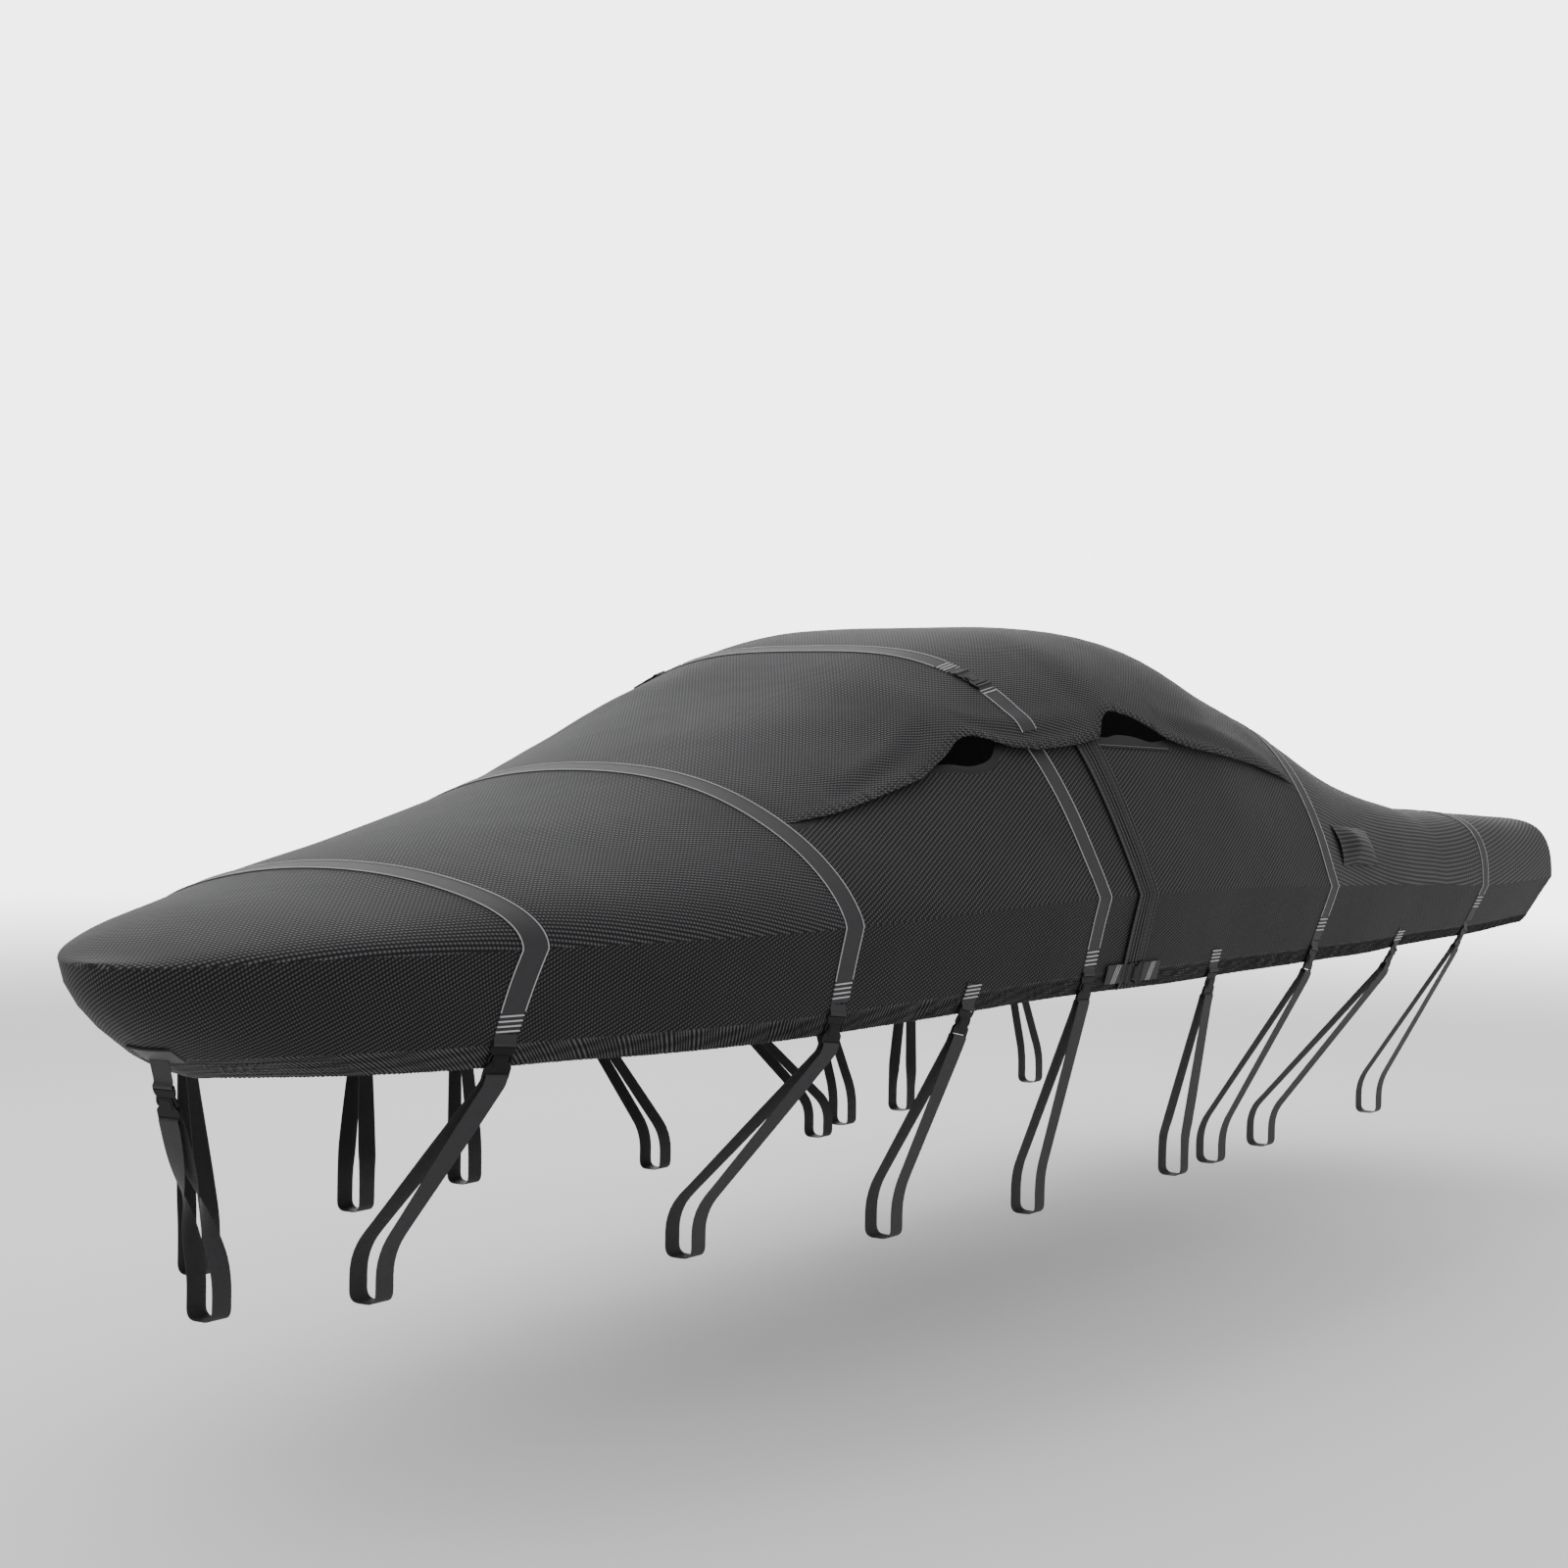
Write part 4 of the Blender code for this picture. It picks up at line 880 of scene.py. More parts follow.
def make_skirts():
    stations = np.concatenate([np.linspace(0.0, 0.5, 112) ** 2, spaced(0.25, PATH_END, SKIRT_STEP)[1:]])
    points = np.array([skirt_points(s, SKIRT_DROPS) for s in stations])
    points[:, 0, 2] -= SKIRT_GAP
    around = np.broadcast_to(distances(points, 0)[:, SKIRT_CELLS + 1][:, None], points.shape[:2])
    below = (SKIRT_DROPS[None, :] - PLEAT_START) / (1 - PLEAT_START)
    hem = ramp(below, 0.0, 0.3) * (1 - 0.5 * ramp(below, 0.6, 1.0)) * ramp(stations, 0.0, 0.02)[:, None]
    slant = np.interp(stations, *PLEAT_SLANTS)[:, None]
    leaning = around - slant * PLEAT_PITCH * below
    pleats = rib_wave(leaning, PLEAT_PITCH, 5)
    calm = np.minimum(ramp(stations, 0.0, 0.02), ramp(PATH_END - stations, 0.0, 0.1))[:, None]
    shares = 1 + SKIRT_DROPS[None, :] * calm
    points = lifted(points, shares, PLEAT_HEIGHT * hem * (pleats - 0.7))
    points[..., 2] += 0.0015 * hem * (rib_wave(around, PLEAT_PITCH * 4, 6) - 0.5) * ramp(below, 0.5, 1.0)
    points[[0, -1], :, 1] = 0
    gathered = SKIRT_DROPS[:-1] >= PLEAT_START - 0.001
    # Painted highlight: the pale rows of the hem's weave are laid on the crests of the pleats.
    pleat_highlight_place = (rib_phase(leaning, PLEAT_PITCH, 5) + 0.25) * PLEAT_PITCH  # pale where a pleat is high
    for word, side in SIDES.items():
        placed = side_grid(points, side)
        metres = weave_map(placed, 0 if side > 0 else -1)
        trims = {"trim": HEM_CLOTH_PAINTED_LIGHT_AND_SHADE, "trimmed": gathered[::side], "metres": metres}
        obj = sheet(f"skirt_{word}_cloth", placed, SKIRT_CLOTH_PAINTED_SHADE, COATING_AND_PAINTED_SHADE, **trims)
        add_coordinates(obj.data, "pleats", np.stack([metres[..., 0], pleat_highlight_place[:, ::side]], axis=2))
        finish_sheet(obj, placed, "hung", DECKS, "cloth", f"skirt_{word}")


make_skirts()

# %% [markdown]
# ## Tubes and bars
# Thin round trims, such as piping and the pale bars at a strap's end, are tubes along a run of points.

# %% Strips, tubes and bars
def tube(name, route, radius, finish, sides=8):
    """A round tube along a run of points, closed at its ends."""
    route = np.asarray(route)
    along = unit(np.gradient(route, axis=0))
    side = unit(np.cross(along, np.where(np.abs(along[:, 2:]) > 0.9, [[1.0, 0, 0]], [[0, 0, 1.0]])))
    up = np.cross(side, along)
    angle = np.linspace(0, 2 * math.pi, sides, endpoint=False)
    ring = np.cos(angle)[None, :, None] * side[:, None] + np.sin(angle)[None, :, None] * up[:, None]
    points = (route[:, None] + radius * ring).reshape(-1, 3)
    faces = grid_faces(len(route), sides, closed_columns=True)
    faces.append(tuple(range(sides))[::-1])
    faces.append(tuple((len(route) - 1) * sides + k for k in range(sides)))
    far = distances(route[:, None], 0)[:, 0]
    metres = np.stack(np.broadcast_arrays(radius * angle[None, :], far[:, None]), axis=2)
    return add_object(name, points, faces, [finish], metres.reshape(-1, 2))


def joined(name, parts):
    """One object out of several."""
    with bpy.context.temp_override(active_object=parts[0], selected_editable_objects=parts):
        bpy.ops.object.join()
    parts[0].name = name
    return parts[0]


PIPING_RADIUS = 0.0017
BAR_RADIUS = 0.0023
BAR_LIFT = 0.0006
BAR_PITCH = 0.0135
BAR_COUNT = 4
STRIP_EDGES = {"fore": 0, "aft": -1}


def bars(name, routes, radius=BAR_RADIUS):
    made = [tube(f"{name}_{k}", route, radius, PALE_TAPE) for k, route in enumerate(routes)]
    finish_piece(joined(name, made), "webbing")


def bars_on_both_sides(name, routes):
    for word, side in SIDES.items():
        bars(f"{name}_{word}_bars", on_side(routes, side))


def piping(name, route):
    finish_piece(tube(name, route, PIPING_RADIUS, PIPING), "webbing")


def piping_across(name, route):
    """Piping from port to starboard, along a run of points that goes from the centre line to starboard."""
    piping(name, np.concatenate([on_side(route, -1)[::-1][:-1], route]))


# %% [markdown]
# ## Bands across the top
# Each band is a flat strip of webbing that is sewn over a seam or over the cloth, from one skirt to the
# other.  A thin pale piping runs along both of its edges, and four pale bars cross each end above the
# buckle.  Rows of a strip run across its width, so it bends with the cloth below.

# %% Bands
BAND_CELLS = 6
BAND_END = 0.70  # share of the skirt where a band turns into its buckle
BAR_HEIGHTS = {"band_1": 1.221, "band_2": 1.250, "band_4": 1.286, "band_5": 1.319, "band_6": 1.342}
PIPING_ABOVE_BARS = 0.010
STAND = BAND_CLEAR + WEBBING


def strip_grid(stations, shares, lean=0.0):
    """Rows across a strip's width and columns along its run.  Below the crease it leans forward."""
    shares = np.asarray(shares, dtype=float)
    rows = []
    for station in stations:
        top = top_points(station, shares[shares <= 1])
        skirt = [skirt_points(station - lean * (s - 1), [s - 1])[0] for s in shares[shares > 1]]
        rows.append(np.array([*top, *skirt]))
    return np.array(rows)


def at_share(points, shares, wanted):
    """The run of points across a strip at this share."""
    return np.array([[np.interp(wanted, shares, row[:, axis]) for axis in range(3)] for row in points])


def edge_route(points, edge, shares, run):
    """The points along one edge of a strip at these shares."""
    return np.column_stack([np.interp(run, shares, points[edge, :, axis]) for axis in range(3)])


def drop_share(station, height):
    crease, hem = smooth("crease", station), smooth("hem", station)
    return 1 + (crease - height) / (crease - hem)


def end_shares(name, station):
    """The share of each of the four bars, and the share where the piping stops."""
    depth = smooth("crease", station) - smooth("hem", station)
    first = drop_share(station, BAR_HEIGHTS[name])
    return [first + k * BAR_PITCH / depth for k in range(BAR_COUNT)], first - PIPING_ABOVE_BARS / depth


def across_band(middle):
    return np.linspace(middle - BAND_WIDTH / 2, middle + BAND_WIDTH / 2, BAND_CELLS + 1)


def make_band(name, middle):
    shares = np.concatenate([TOP_SHARES, 1 + np.linspace(0, BAND_END, 15)[1:]])
    half = strip_grid(across_band(middle), shares, BAND_LEANS[name])
    points = lifted(whole(half), both_ways(shares), STAND)
    obj = sheet(f"{name}_webbing", points, BAND_WEBBING, thickness=WEBBING)
    finish_sheet(obj, points, "stretched", DECKS, "webbing", name)
    return points[:, len(shares) - 1 :], shares


def trim_band(name, middle, points, shares):
    """Piping along both edges and four bars at each end; points are the band's starboard half."""
    over = points + BAR_LIFT * normals_of(points)
    bar_shares, piping_end = end_shares(name, middle)
    run = np.append(shares[shares < piping_end], piping_end)
    for word, edge in STRIP_EDGES.items():
        route = edge_route(over, edge, shares, run)
        if name in BANDS:
            piping_across(f"{name}_piping_{word}", route)
        else:
            for side_word, side in SIDES.items():
                piping(f"{name}_{side_word}_piping_{word}", on_side(route, side))
    bars_on_both_sides(name, [at_share(over, shares, s) for s in bar_shares])


for band, middle in BANDS.items():
    band_points, band_shares = make_band(band, middle)
    trim_band(band, middle, band_points, band_shares)


def make_side_band():
    """Band 4 starts under the hood's edge and runs down the side panel and the skirt."""
    stations = across_band(CROWN_BAND_STATION)
    top = side_top(CROWN_BAND_STATION) + 0.004
    shares = np.concatenate([np.linspace(top, 1, 22), 1 + np.linspace(0, BAND_END, 15)[1:]])
    points = lifted(strip_grid(stations, shares), shares, STAND)
    for word, side in SIDES.items():
        placed = side_grid(points, side)
        obj = sheet(f"band_4_{word}_webbing", placed, BAND_WEBBING, thickness=WEBBING)
        finish_sheet(obj, placed, "stretched", [f"side_{word}_cloth"], "webbing", f"band_4_{word}")
    trim_band("band_4", CROWN_BAND_STATION, points, shares)


make_side_band()

# %% [markdown]
# Band 3 lies on the hood alone.  Above its flat buckle it ends in four bars and a folded tab, and below
# the buckle a shorter tab with two bars runs on to the hood's edge.

# %% The hood's band
HOOD_CLIP_SHARE = 0.66  # of the hood's edge share, at the middle of the buckle
HOOD_BAND_BREAK = 0.045  # half the length of band that the buckle takes up
HOOD_CLIP_LIFT = -0.0010
HOOD_CLIP_STAND = 0.0025


def make_hood_band():
    """Makes band 3 and gives back the share at the middle of its buckle."""
    end = side_top(CROWN_BAND_STATION)
    shares = np.linspace(0, end, 60)
    half, stand = hood_surface(across_band(CROWN_BAND_STATION), shares)
    points = lifted(whole(half), both_ways(shares), both_ways(stand) + STAND)
    obj = sheet("band_3_webbing", points, BAND_WEBBING, thickness=WEBBING)
    finish_sheet(obj, points, "stretched", ["hood_cloth"], "webbing", "band_3")
    right = points[:, len(shares) - 1 :]
    over = right + BAR_LIFT * normals_of(right)
    length = top_outline(CROWN_BAND_STATION)[2]
    middle = HOOD_CLIP_SHARE * edge_share(CROWN_BAND_STATION)
    upper = middle - (HOOD_BAND_BREAK + 0.035) / length
    lower = middle + (HOOD_BAND_BREAK + 0.020) / length
    pitch = BAR_PITCH / length
    bar_shares = [*(upper - k * pitch for k in range(BAR_COUNT)), lower, lower + pitch]
    bars_on_both_sides("band_3", [at_share(over, shares, s) for s in bar_shares])
    for word, edge in STRIP_EDGES.items():
        above_bars = np.linspace(0, upper - 3.8 * pitch, 50)
        piping_across(f"band_3_piping_{word}", edge_route(over, edge, shares, above_bars))
        below_bars = edge_route(over, edge, shares, np.linspace(lower + 0.6 * pitch, end, 12))
        for side_word, side in SIDES.items():
            piping(f"band_3_{side_word}_tab_{word}", on_side(below_bars, side))
    return middle


hood_clip_share = make_hood_band()

# %% [markdown]
# ## What is sewn on the sides
# A placket is a flap of cloth with sewn ridges down its length, over the side closure.  Its fore edge
# stands off a little, which leaves a dark groove.  A collar is the bound strip below the aft gap of the
# slit, with one pale row of stitching.  A vent is a scoop on the aft deck, open towards the bow.

# %% Plackets, collars and vents
PLACKET_STAND = 0.0042
PLACKET_RIDGES = 6
PLACKET_RIDGE = 0.0048
PLACKET_EDGE = 0.0050
COLLAR_LOW = (1.946, 1.938)  # height of its lower edge at its two ends
COLLAR_SEAM = 0.007  # from its lower edge up to the stitching
COLLAR_PUFF = 0.0030
THREAD_RADIUS = 0.0009
VENT_RISE = 0.055
VENT_LIP = 0.26  # height of the mouth's lip as a share of the scoop's
VENT_CLEAR = 0.025  # from the slit's line
VENT_REACH = (1 / 3, 7 / 9)  # of the deck from the slit's line to the crease
AFT_SLIT_SHARE = 0.74


def placket_row(station):
    """Shares from just below the side panel's top edge down to just above the hem."""
    return np.append(np.linspace(side_top(station) + 0.002, 1, 22), 1 + np.linspace(0, 0.985, 16)[1:])


def make_plackets():
    stations = np.linspace(*PLACKET_ROWS, 1 + 12 * PLACKET_RIDGES)
    across = np.linspace(0, 1, len(stations))
    shares = np.array([placket_row(s) for s in stations])
    ridge = PLACKET_RIDGE * np.abs(np.sin(math.pi * PLACKET_RIDGES * across)) ** 0.7
    groove = PLACKET_EDGE * (1 - ramp(across, 0.0, 0.10))
    points = lifted(grid_of(stations, shares), shares, (PLACKET_STAND + ridge + groove)[:, None])
    for word, side in SIDES.items():
        placed = side_grid(points, side)
        obj = sheet(f"placket_{word}_cloth", placed, PLACKET_CLOTH, COATING_AND_PAINTED_SHADE)
        finish_sheet(obj, placed, "hung", [f"side_{word}_cloth"], "cloth", f"placket_{word}")


def collar_row(station):
    """Shares from its top edge to the stitching and on to its straight lower edge."""
    low = np.interp(station, COLLAR_ROWS, COLLAR_LOW)
    stitching = share_at_height(station, low + COLLAR_SEAM)
    return np.append(np.linspace(side_top(station), stitching, 7), share_at_height(station, low))


def make_collars():
    stations = spaced(*COLLAR_ROWS, 0.010)
    shares = np.array([collar_row(s) for s in stations])
    puff = COLLAR_PUFF * np.sin(math.pi * np.linspace(0.1, 0.9, shares.shape[1])) ** 0.5
    points = lifted(grid_of(stations, shares), shares, STAND + puff)
    line = points[:, -2] + 0.0010 * normals_of(points)[:, -2]
    for word, side in SIDES.items():
        placed = side_grid(points, side)
        obj = sheet(f"collar_{word}_binding", placed, BINDING, thickness=WEBBING)
        finish_sheet(obj, placed, "stretched", [f"side_{word}_cloth"], "webbing", f"collar_{word}")
        thread = tube(f"collar_{word}_stitching", on_side(line, side), THREAD_RADIUS, THREAD, sides=6)
        finish_piece(thread, "webbing")


def aft_slit_share(station):
    last = SLIT[-1]
    blend = min((station - last[0]) / (SPINE_BEND - last[0]), 1.0)
    return (1 - blend) * share_at_height(last[0], last[1]) + blend * AFT_SLIT_SHARE


def vent_row(station):
    start = aft_slit_share(station) + VENT_CLEAR / top_outline(station)[2]
    low, high = (start + reach * (1 - start) for reach in VENT_REACH)
    return np.linspace(low, high, 25)


def make_vents():
    stations = np.linspace(*VENT_ROWS, 31)
    shares = np.array([vent_row(s) for s in stations])
    along = np.linspace(1, 0, len(stations))[:, None]
    across = np.linspace(0, 1, shares.shape[1])[None, :]
    lip = VENT_LIP + (1 - VENT_LIP) * ramp(1 - along, 0.0, 0.35)
    rise = VENT_RISE * lip * np.sin(math.pi * across) ** 0.8 * (along * (2 - along)) ** 0.8
    points = lifted(grid_of(stations, shares), shares, BAND_CLEAR + CLOTH + rise)
    for word, side in SIDES.items():
        placed = side_grid(points, side)
        obj = sheet(f"vent_{word}_cloth", placed, AFT_CLOTH_PAINTED_LIGHT, COATING_AND_PAINTED_SHADE)
        finish_sheet(obj, placed, "stretched", ["deck_aft_cloth"], "cloth", f"vent_{word}")


make_plackets()
make_collars()
make_vents()

# %% [markdown]
# ## The patch on the stem
# A short strap is sewn across the stem, with a black bound upper edge.  It carries the bow tie-down.

# %% Bow patch
PATCH_DROPS = (0.70, 0.83)
PATCH_END = 0.0095  # station of its ends
PATCH_BINDING = 0.0042  # radius of its bound edge


def make_bow_patch():
    stations = np.linspace(0.02, math.sqrt(PATCH_END), 12) ** 2
    drops = np.linspace(*PATCH_DROPS, 9)
    right = np.array([skirt_points(s, drops) for s in stations])
    right[0, :, 1] = 0
    points = np.concatenate([on_side(right, -1)[:0:-1], right])
    normals = normals_of(points)
    points = points + STAND * normals
    obj = sheet("bow_patch_webbing", points, PATCH_WEBBING, thickness=WEBBING)
    skirts = ["skirt_port_cloth", "skirt_starboard_cloth"]
    finish_sheet(obj, points, "stretched", skirts, "webbing", "bow_patch")
    edge = points[:, 0] + BAR_LIFT * normals[:, 0]
    finish_piece(tube("bow_patch_binding", edge, PATCH_BINDING, BINDING), "webbing")


make_bow_patch()

# %% [markdown]
# ## Buckles
# A buckle lies on a frame of its own: along its width, down the strap and out of the cloth.  It is built
# of moulded slabs, each an outline with its holes, and has rounded edges.  The upper half has the bar
# that the band's webbing is folded round, two springy prongs and a guide.  The lower half takes the
# prongs in through its mouth and has the slot for the loop.

# %% Frames and moulded slabs
class Frame:
    """A place on the cover with its width, down and outward directions."""

    def __init__(self, origin, width, down):
        self.origin = np.array(origin, dtype=float)
        self.width = unit(np.array(width, dtype=float))
        self.down = unit(np.array(down, dtype=float) - self.width * (np.array(down) @ self.width))
        self.out = np.cross(self.width, self.down)

    def at(self, across, along, lift):
        return self.origin + across * self.width + along * self.down + lift * self.out

    def matrix(self):
        spot = self.origin - np.array([ORIGIN_STATION, 0, ORIGIN_HEIGHT])
        turn = Matrix([[*pair] for pair in zip(self.width, self.down, self.out)]).to_4x4()
        return Matrix.Translation(spot) @ turn


def skirt_frame(station, drop, side, lean=0.0):
    """On the skirt's outside.  Its width runs aft on starboard and forward on port."""
    flip = np.array([1, side, 1])
    here, above = skirt_points(station, [drop, drop * 0.5])
    fore, aft = (skirt_points(station + step, [drop])[0] for step in (-0.03, 0.03))
    along, down = unit((aft - fore) * flip), unit((here - above) * flip)
    return Frame(here * flip, side * (along + lean * down), down - lean * along)


def rounded_outline(corners, radius, steps=5):
    """A closed outline through the corners, each rounded by up to this radius."""
    corners = np.asarray(corners, dtype=float)
    found = []
    for k, corner in enumerate(corners):
        before, after = corners[k - 1] - corner, corners[(k + 1) % len(corners)] - corner
        cut = min(radius, 0.45 * np.linalg.norm(before), 0.45 * np.linalg.norm(after))
        start, end = corner + cut * unit(before), corner + cut * unit(after)
        for t in np.linspace(0, 1, steps):
            found.append((1 - t) ** 2 * start + 2 * t * (1 - t) * corner + t**2 * end)
    return np.array(found)


def both_halves(half):
    """A symmetric outline from the corners of its right half, listed from top to bottom."""
    half = [tuple(corner) for corner in half]
    return half + [(-across, along) for across, along in half[::-1]]


def slab(outline, holes, low, high):
    """Points and faces of a flat moulded slab with holes through it."""
    loops = [outline, *holes]
    flat = np.concatenate(loops)
    count = len(flat)
    points = np.concatenate([np.column_stack([flat, np.full(count, z)]) for z in (high, low)])
    caps = tessellate_polygon([[Vector((*p, 0)) for p in loop] for loop in loops])
    faces = [tuple(cap) for cap in caps] + [tuple(i + count for i in cap[::-1]) for cap in caps]
    start = 0
    for loop in loops:
        for k in range(len(loop)):
            a, b = start + k, start + (k + 1) % len(loop)
            faces.append((a, b, b + count, a + count))
        start += len(loop)
    return points, faces


BAR_SLOT = ((0.0348, 0.0300), (0.0348, 0.0345))  # right corners of the hole for the band's webbing
LOOP_SLOT = ((0.0348, 0.1085), (0.0348, 0.1135))
MALE_HALF = ((0.0385, 0.0225), (0.0385, 0.0400), (0.0350, 0.0500), (0.0270, 0.0570))
PRONG = (
    (0.0240, 0.0500), (0.0310, 0.0500), (0.0350, 0.0590), (0.0375, 0.0690),
    (0.0350, 0.0790), (0.0290, 0.0810), (0.0310, 0.0700), (0.0290, 0.0600),
)
GUIDE = ((0.0045, 0.0500), (0.0040, 0.0700))
FEMALE_HALF = ((0.0245, 0.0560), (0.0245, 0.0720), (0.0290, 0.0800), (0.0390, 0.0890), (0.0395, 0.1250))
PANEL_HALF = ((0.0150, 0.0610), (0.0180, 0.0650), (0.0200, 0.0860), (0.0170, 0.0900))
SLOT_RADIUS = 0.002
SHARP_ANGLE = math.radians(50)  # edges sharper than this are rounded


def moulded(corners, radius, low, high, hole=None):
    """A slab with rounded corners, and with a slot through it if the corners of half a hole are given."""
    holes = [rounded_outline(both_halves(hole), SLOT_RADIUS)] if hole else []
    return slab(rounded_outline(corners, radius), holes, low, high)


def buckle_mesh(shift):
    """The whole buckle as one mesh; shift moves it along the strap."""
    slabs = [
        moulded(both_halves(MALE_HALF), 0.005, 0.0030, 0.0085, BAR_SLOT),
        moulded(PRONG, 0.003, 0.0022, 0.0080),
        moulded([(-across, along) for across, along in PRONG], 0.003, 0.0022, 0.0080),
        moulded(both_halves(GUIDE), 0.001, 0.0030, 0.0075),
        moulded(both_halves(FEMALE_HALF), 0.005, 0.0008, 0.0104, LOOP_SLOT),
        moulded(both_halves(PANEL_HALF), 0.004, 0.0100, 0.0116),
    ]
    points, faces = [], []
    for slab_points, slab_faces in slabs:
        start = sum(len(p) for p in points)
        points.append(slab_points + np.array([0, shift, 0]))
        faces += [tuple(i + start for i in face) for face in slab_faces]
    made = add_mesh("buckle", np.concatenate(points), faces, [ACETAL])
    data = made.data
    mesh = bmesh.new()
    mesh.from_mesh(data)
    bmesh.ops.recalc_face_normals(mesh, faces=mesh.faces)
    sharp = [e for e in mesh.edges if len(e.link_faces) == 2 and e.calc_face_angle() > SHARP_ANGLE]
    bmesh.ops.bevel(mesh, geom=sharp, offset=0.0007, segments=2, profile=0.5, affect="EDGES")
    mesh.to_mesh(data)
    mesh.free()
    data.polygons.foreach_set("use_smooth", [False] * len(data.polygons))
    bpy.data.objects.remove(made)
    return data


FLAT_SHIFT = -0.073  # puts the middle of a flat buckle on its frame's origin
BUCKLE = buckle_mesh(0.0)
FLAT_BUCKLE = buckle_mesh(FLAT_SHIFT)
print("a buckle has", len(BUCKLE.polygons), "faces")


def place_buckle(name, data, frame, node):
    obj = bpy.data.objects.new(name, data)
    bpy.context.scene.collection.objects.link(obj)
    obj.matrix_world = frame.matrix()
    finish_piece(obj, "buckles", node)


# %% [markdown]
# ## Straps on the buckles and the tie-down loops
# Each strap is a run of points down its middle, bent round the bars, and a width.  A strap that ends at a
# buckle comes down the cloth, goes over the bar, through the slot and a little way back.  A loop hangs on
# the lower bar and goes round a foot below, where its width has turned to lie fore and aft.

# %% Straps and loops
CLIP_LENGTH = 0.125
BAR_HEIGHT = 0.012
BAR_SIDE = 0.0100
BAR_TOP = 0.0073
BAR_MIDDLE_LIFT = 0.0055
FOOT_WIDTH = 0.09
FOOT_DEPTH = 0.13
STRAP_CELLS = 8
STRAP_THICKNESS = 0.0018
OVER_THE_BAR = (
    (0.0120, 0.0022), (0.0180, 0.0050), (0.0225, 0.0094), (0.0262, 0.0104),
    (0.0305, 0.0092), (0.0322, 0.0050), (0.0295, 0.0019), (0.0215, 0.0016),
)
FEMALE_MIRROR = 0.1447  # sum of the two bars' places along the strap
LOOP_BENDS = (0.001, 0.030, 0.060, 0.012, 0.0080, 0.0080, 0.012, 0.060, 0.030)  # metres cut at each corner


def smooth_line(points, steps=5):
    """A Catmull-Rom curve through the points."""
    points = np.asarray(points, dtype=float)
    ends = np.concatenate([[2 * points[0] - points[1]], points, [2 * points[-1] - points[-2]]])
    found = []
    for a, b, c, d in zip(ends, ends[1:], ends[2:], ends[3:]):
        for t in np.linspace(0, 1, steps, endpoint=False):
            square, cube = (2 * a - 5 * b + 4 * c - d) * t**2, (3 * b - a - 3 * c + d) * t**3
            found.append(0.5 * (2 * b + (c - a) * t + square + cube))
    return np.array([*found, points[-1]])


def strap(name, middle, width, finish, half, rests_on, *nodes):
    """A strap of even thickness along a run of points; width is its width direction at each."""
    across = np.linspace(-half, half, STRAP_CELLS + 1)
    points = middle[:, None] + across[None, :, None] * width[:, None]
    obj = sheet(name, points, finish, thickness=STRAP_THICKNESS, offset=0.0)
    finish_sheet(obj, points, "hung", rests_on, "webbing", *nodes)


def tab_on_bar(name, frame, reach, clip, shift=0.0, female=False, scale=1.0):
    """The webbing that comes over the cloth to a buckle's bar and is folded round it."""
    route = [(-reach, 0.0016), (min(-0.3 * reach, 0.004), 0.0016), *OVER_THE_BAR]
    if female:
        route = [(FEMALE_MIRROR - along, lift) for along, lift in route]
    line = smooth_line([(along + shift, lift) for along, lift in route])
    middle = np.array([frame.at(0, along, lift) for along, lift in line])
    width = np.repeat(frame.width[None], len(middle), axis=0)
    strap(name, middle, width, BAND_WEBBING, STRAP_WIDTH / 2 * scale, [clip])


def tab_bars(name, frame, places, lift, slant, half=STRAP_WIDTH / 2, radius=BAR_RADIUS):
    """Bars across a tab at these places along it; slant is how far they lean for each metre across."""
    across = np.array([-1, -0.5, 0, 0.5, 1]) * half
    routes = [[frame.at(u, along + slant * u, lift) for u in across] for along in places]
    bars(name, routes, radius)


def closed_route(corners, cuts, step):
    """A closed run of points, straight between the corners and bent round each, from its last corner on."""
    found = []
    for k, corner in enumerate(corners):
        before, after = corners[k - 1], corners[(k + 1) % len(corners)]
        start, end = corner + cuts[k] * unit(before - corner), corner + cuts[k] * unit(after - corner)
        for t in np.linspace(0, 1, 7):
            found.append((1 - t) ** 2 * start + 2 * t * (1 - t) * corner + t**2 * end)
        follow = after + cuts[(k + 1) % len(corners)] * unit(corner - after)
        count = int(np.linalg.norm(follow - end) / step)
        for j in range(1, count + 1):
            found.append(end + j / (count + 1) * (follow - end))
    return np.array([*found, found[0]])


def make_loop(name, frame, foot, side, rests_on):
    half, base, station = foot["foot_half"], foot["foot_height"], foot["foot_station"]
    bar = CLIP_LENGTH - BAR_HEIGHT / 2
    lift = BAR_MIDDLE_LIFT
    front_low, front_high = (frame.at(0, bar + r, lift + BAR_SIDE) for r in (BAR_SIDE * 2, -BAR_TOP))
    back_high, back_low = (frame.at(0, bar + r, lift - BAR_SIDE) for r in (-BAR_TOP, BAR_SIDE * 2))

    def foot_corner(reach, rise):
        return np.array([station, side * (half + reach * FOOT_WIDTH / 2), base + rise])

    inner, outer = foot_corner(-1, FOOT_DEPTH), foot_corner(1, FOOT_DEPTH)
    corners = [foot_corner(0, 0), foot_corner(1, 0), outer, front_low, front_high, back_high, back_low]
    corners += [inner, foot_corner(-1, 0)]
    path = closed_route(corners, LOOP_BENDS, 0.020)
    tangent = unit(np.gradient(path, axis=0))
    turn = ramp(-path[:, 2], -back_low[2], -inner[2])[:, None]
    width = (1 - turn) * frame.width + turn * np.array([side, 0, 0])
    width = unit(width - turn * np.sum(width * tangent, axis=1, keepdims=True) * tangent)
    strap(name + "_webbing", path, width, LOOP_WEBBING, STRAP_WIDTH / 2, rests_on, name)


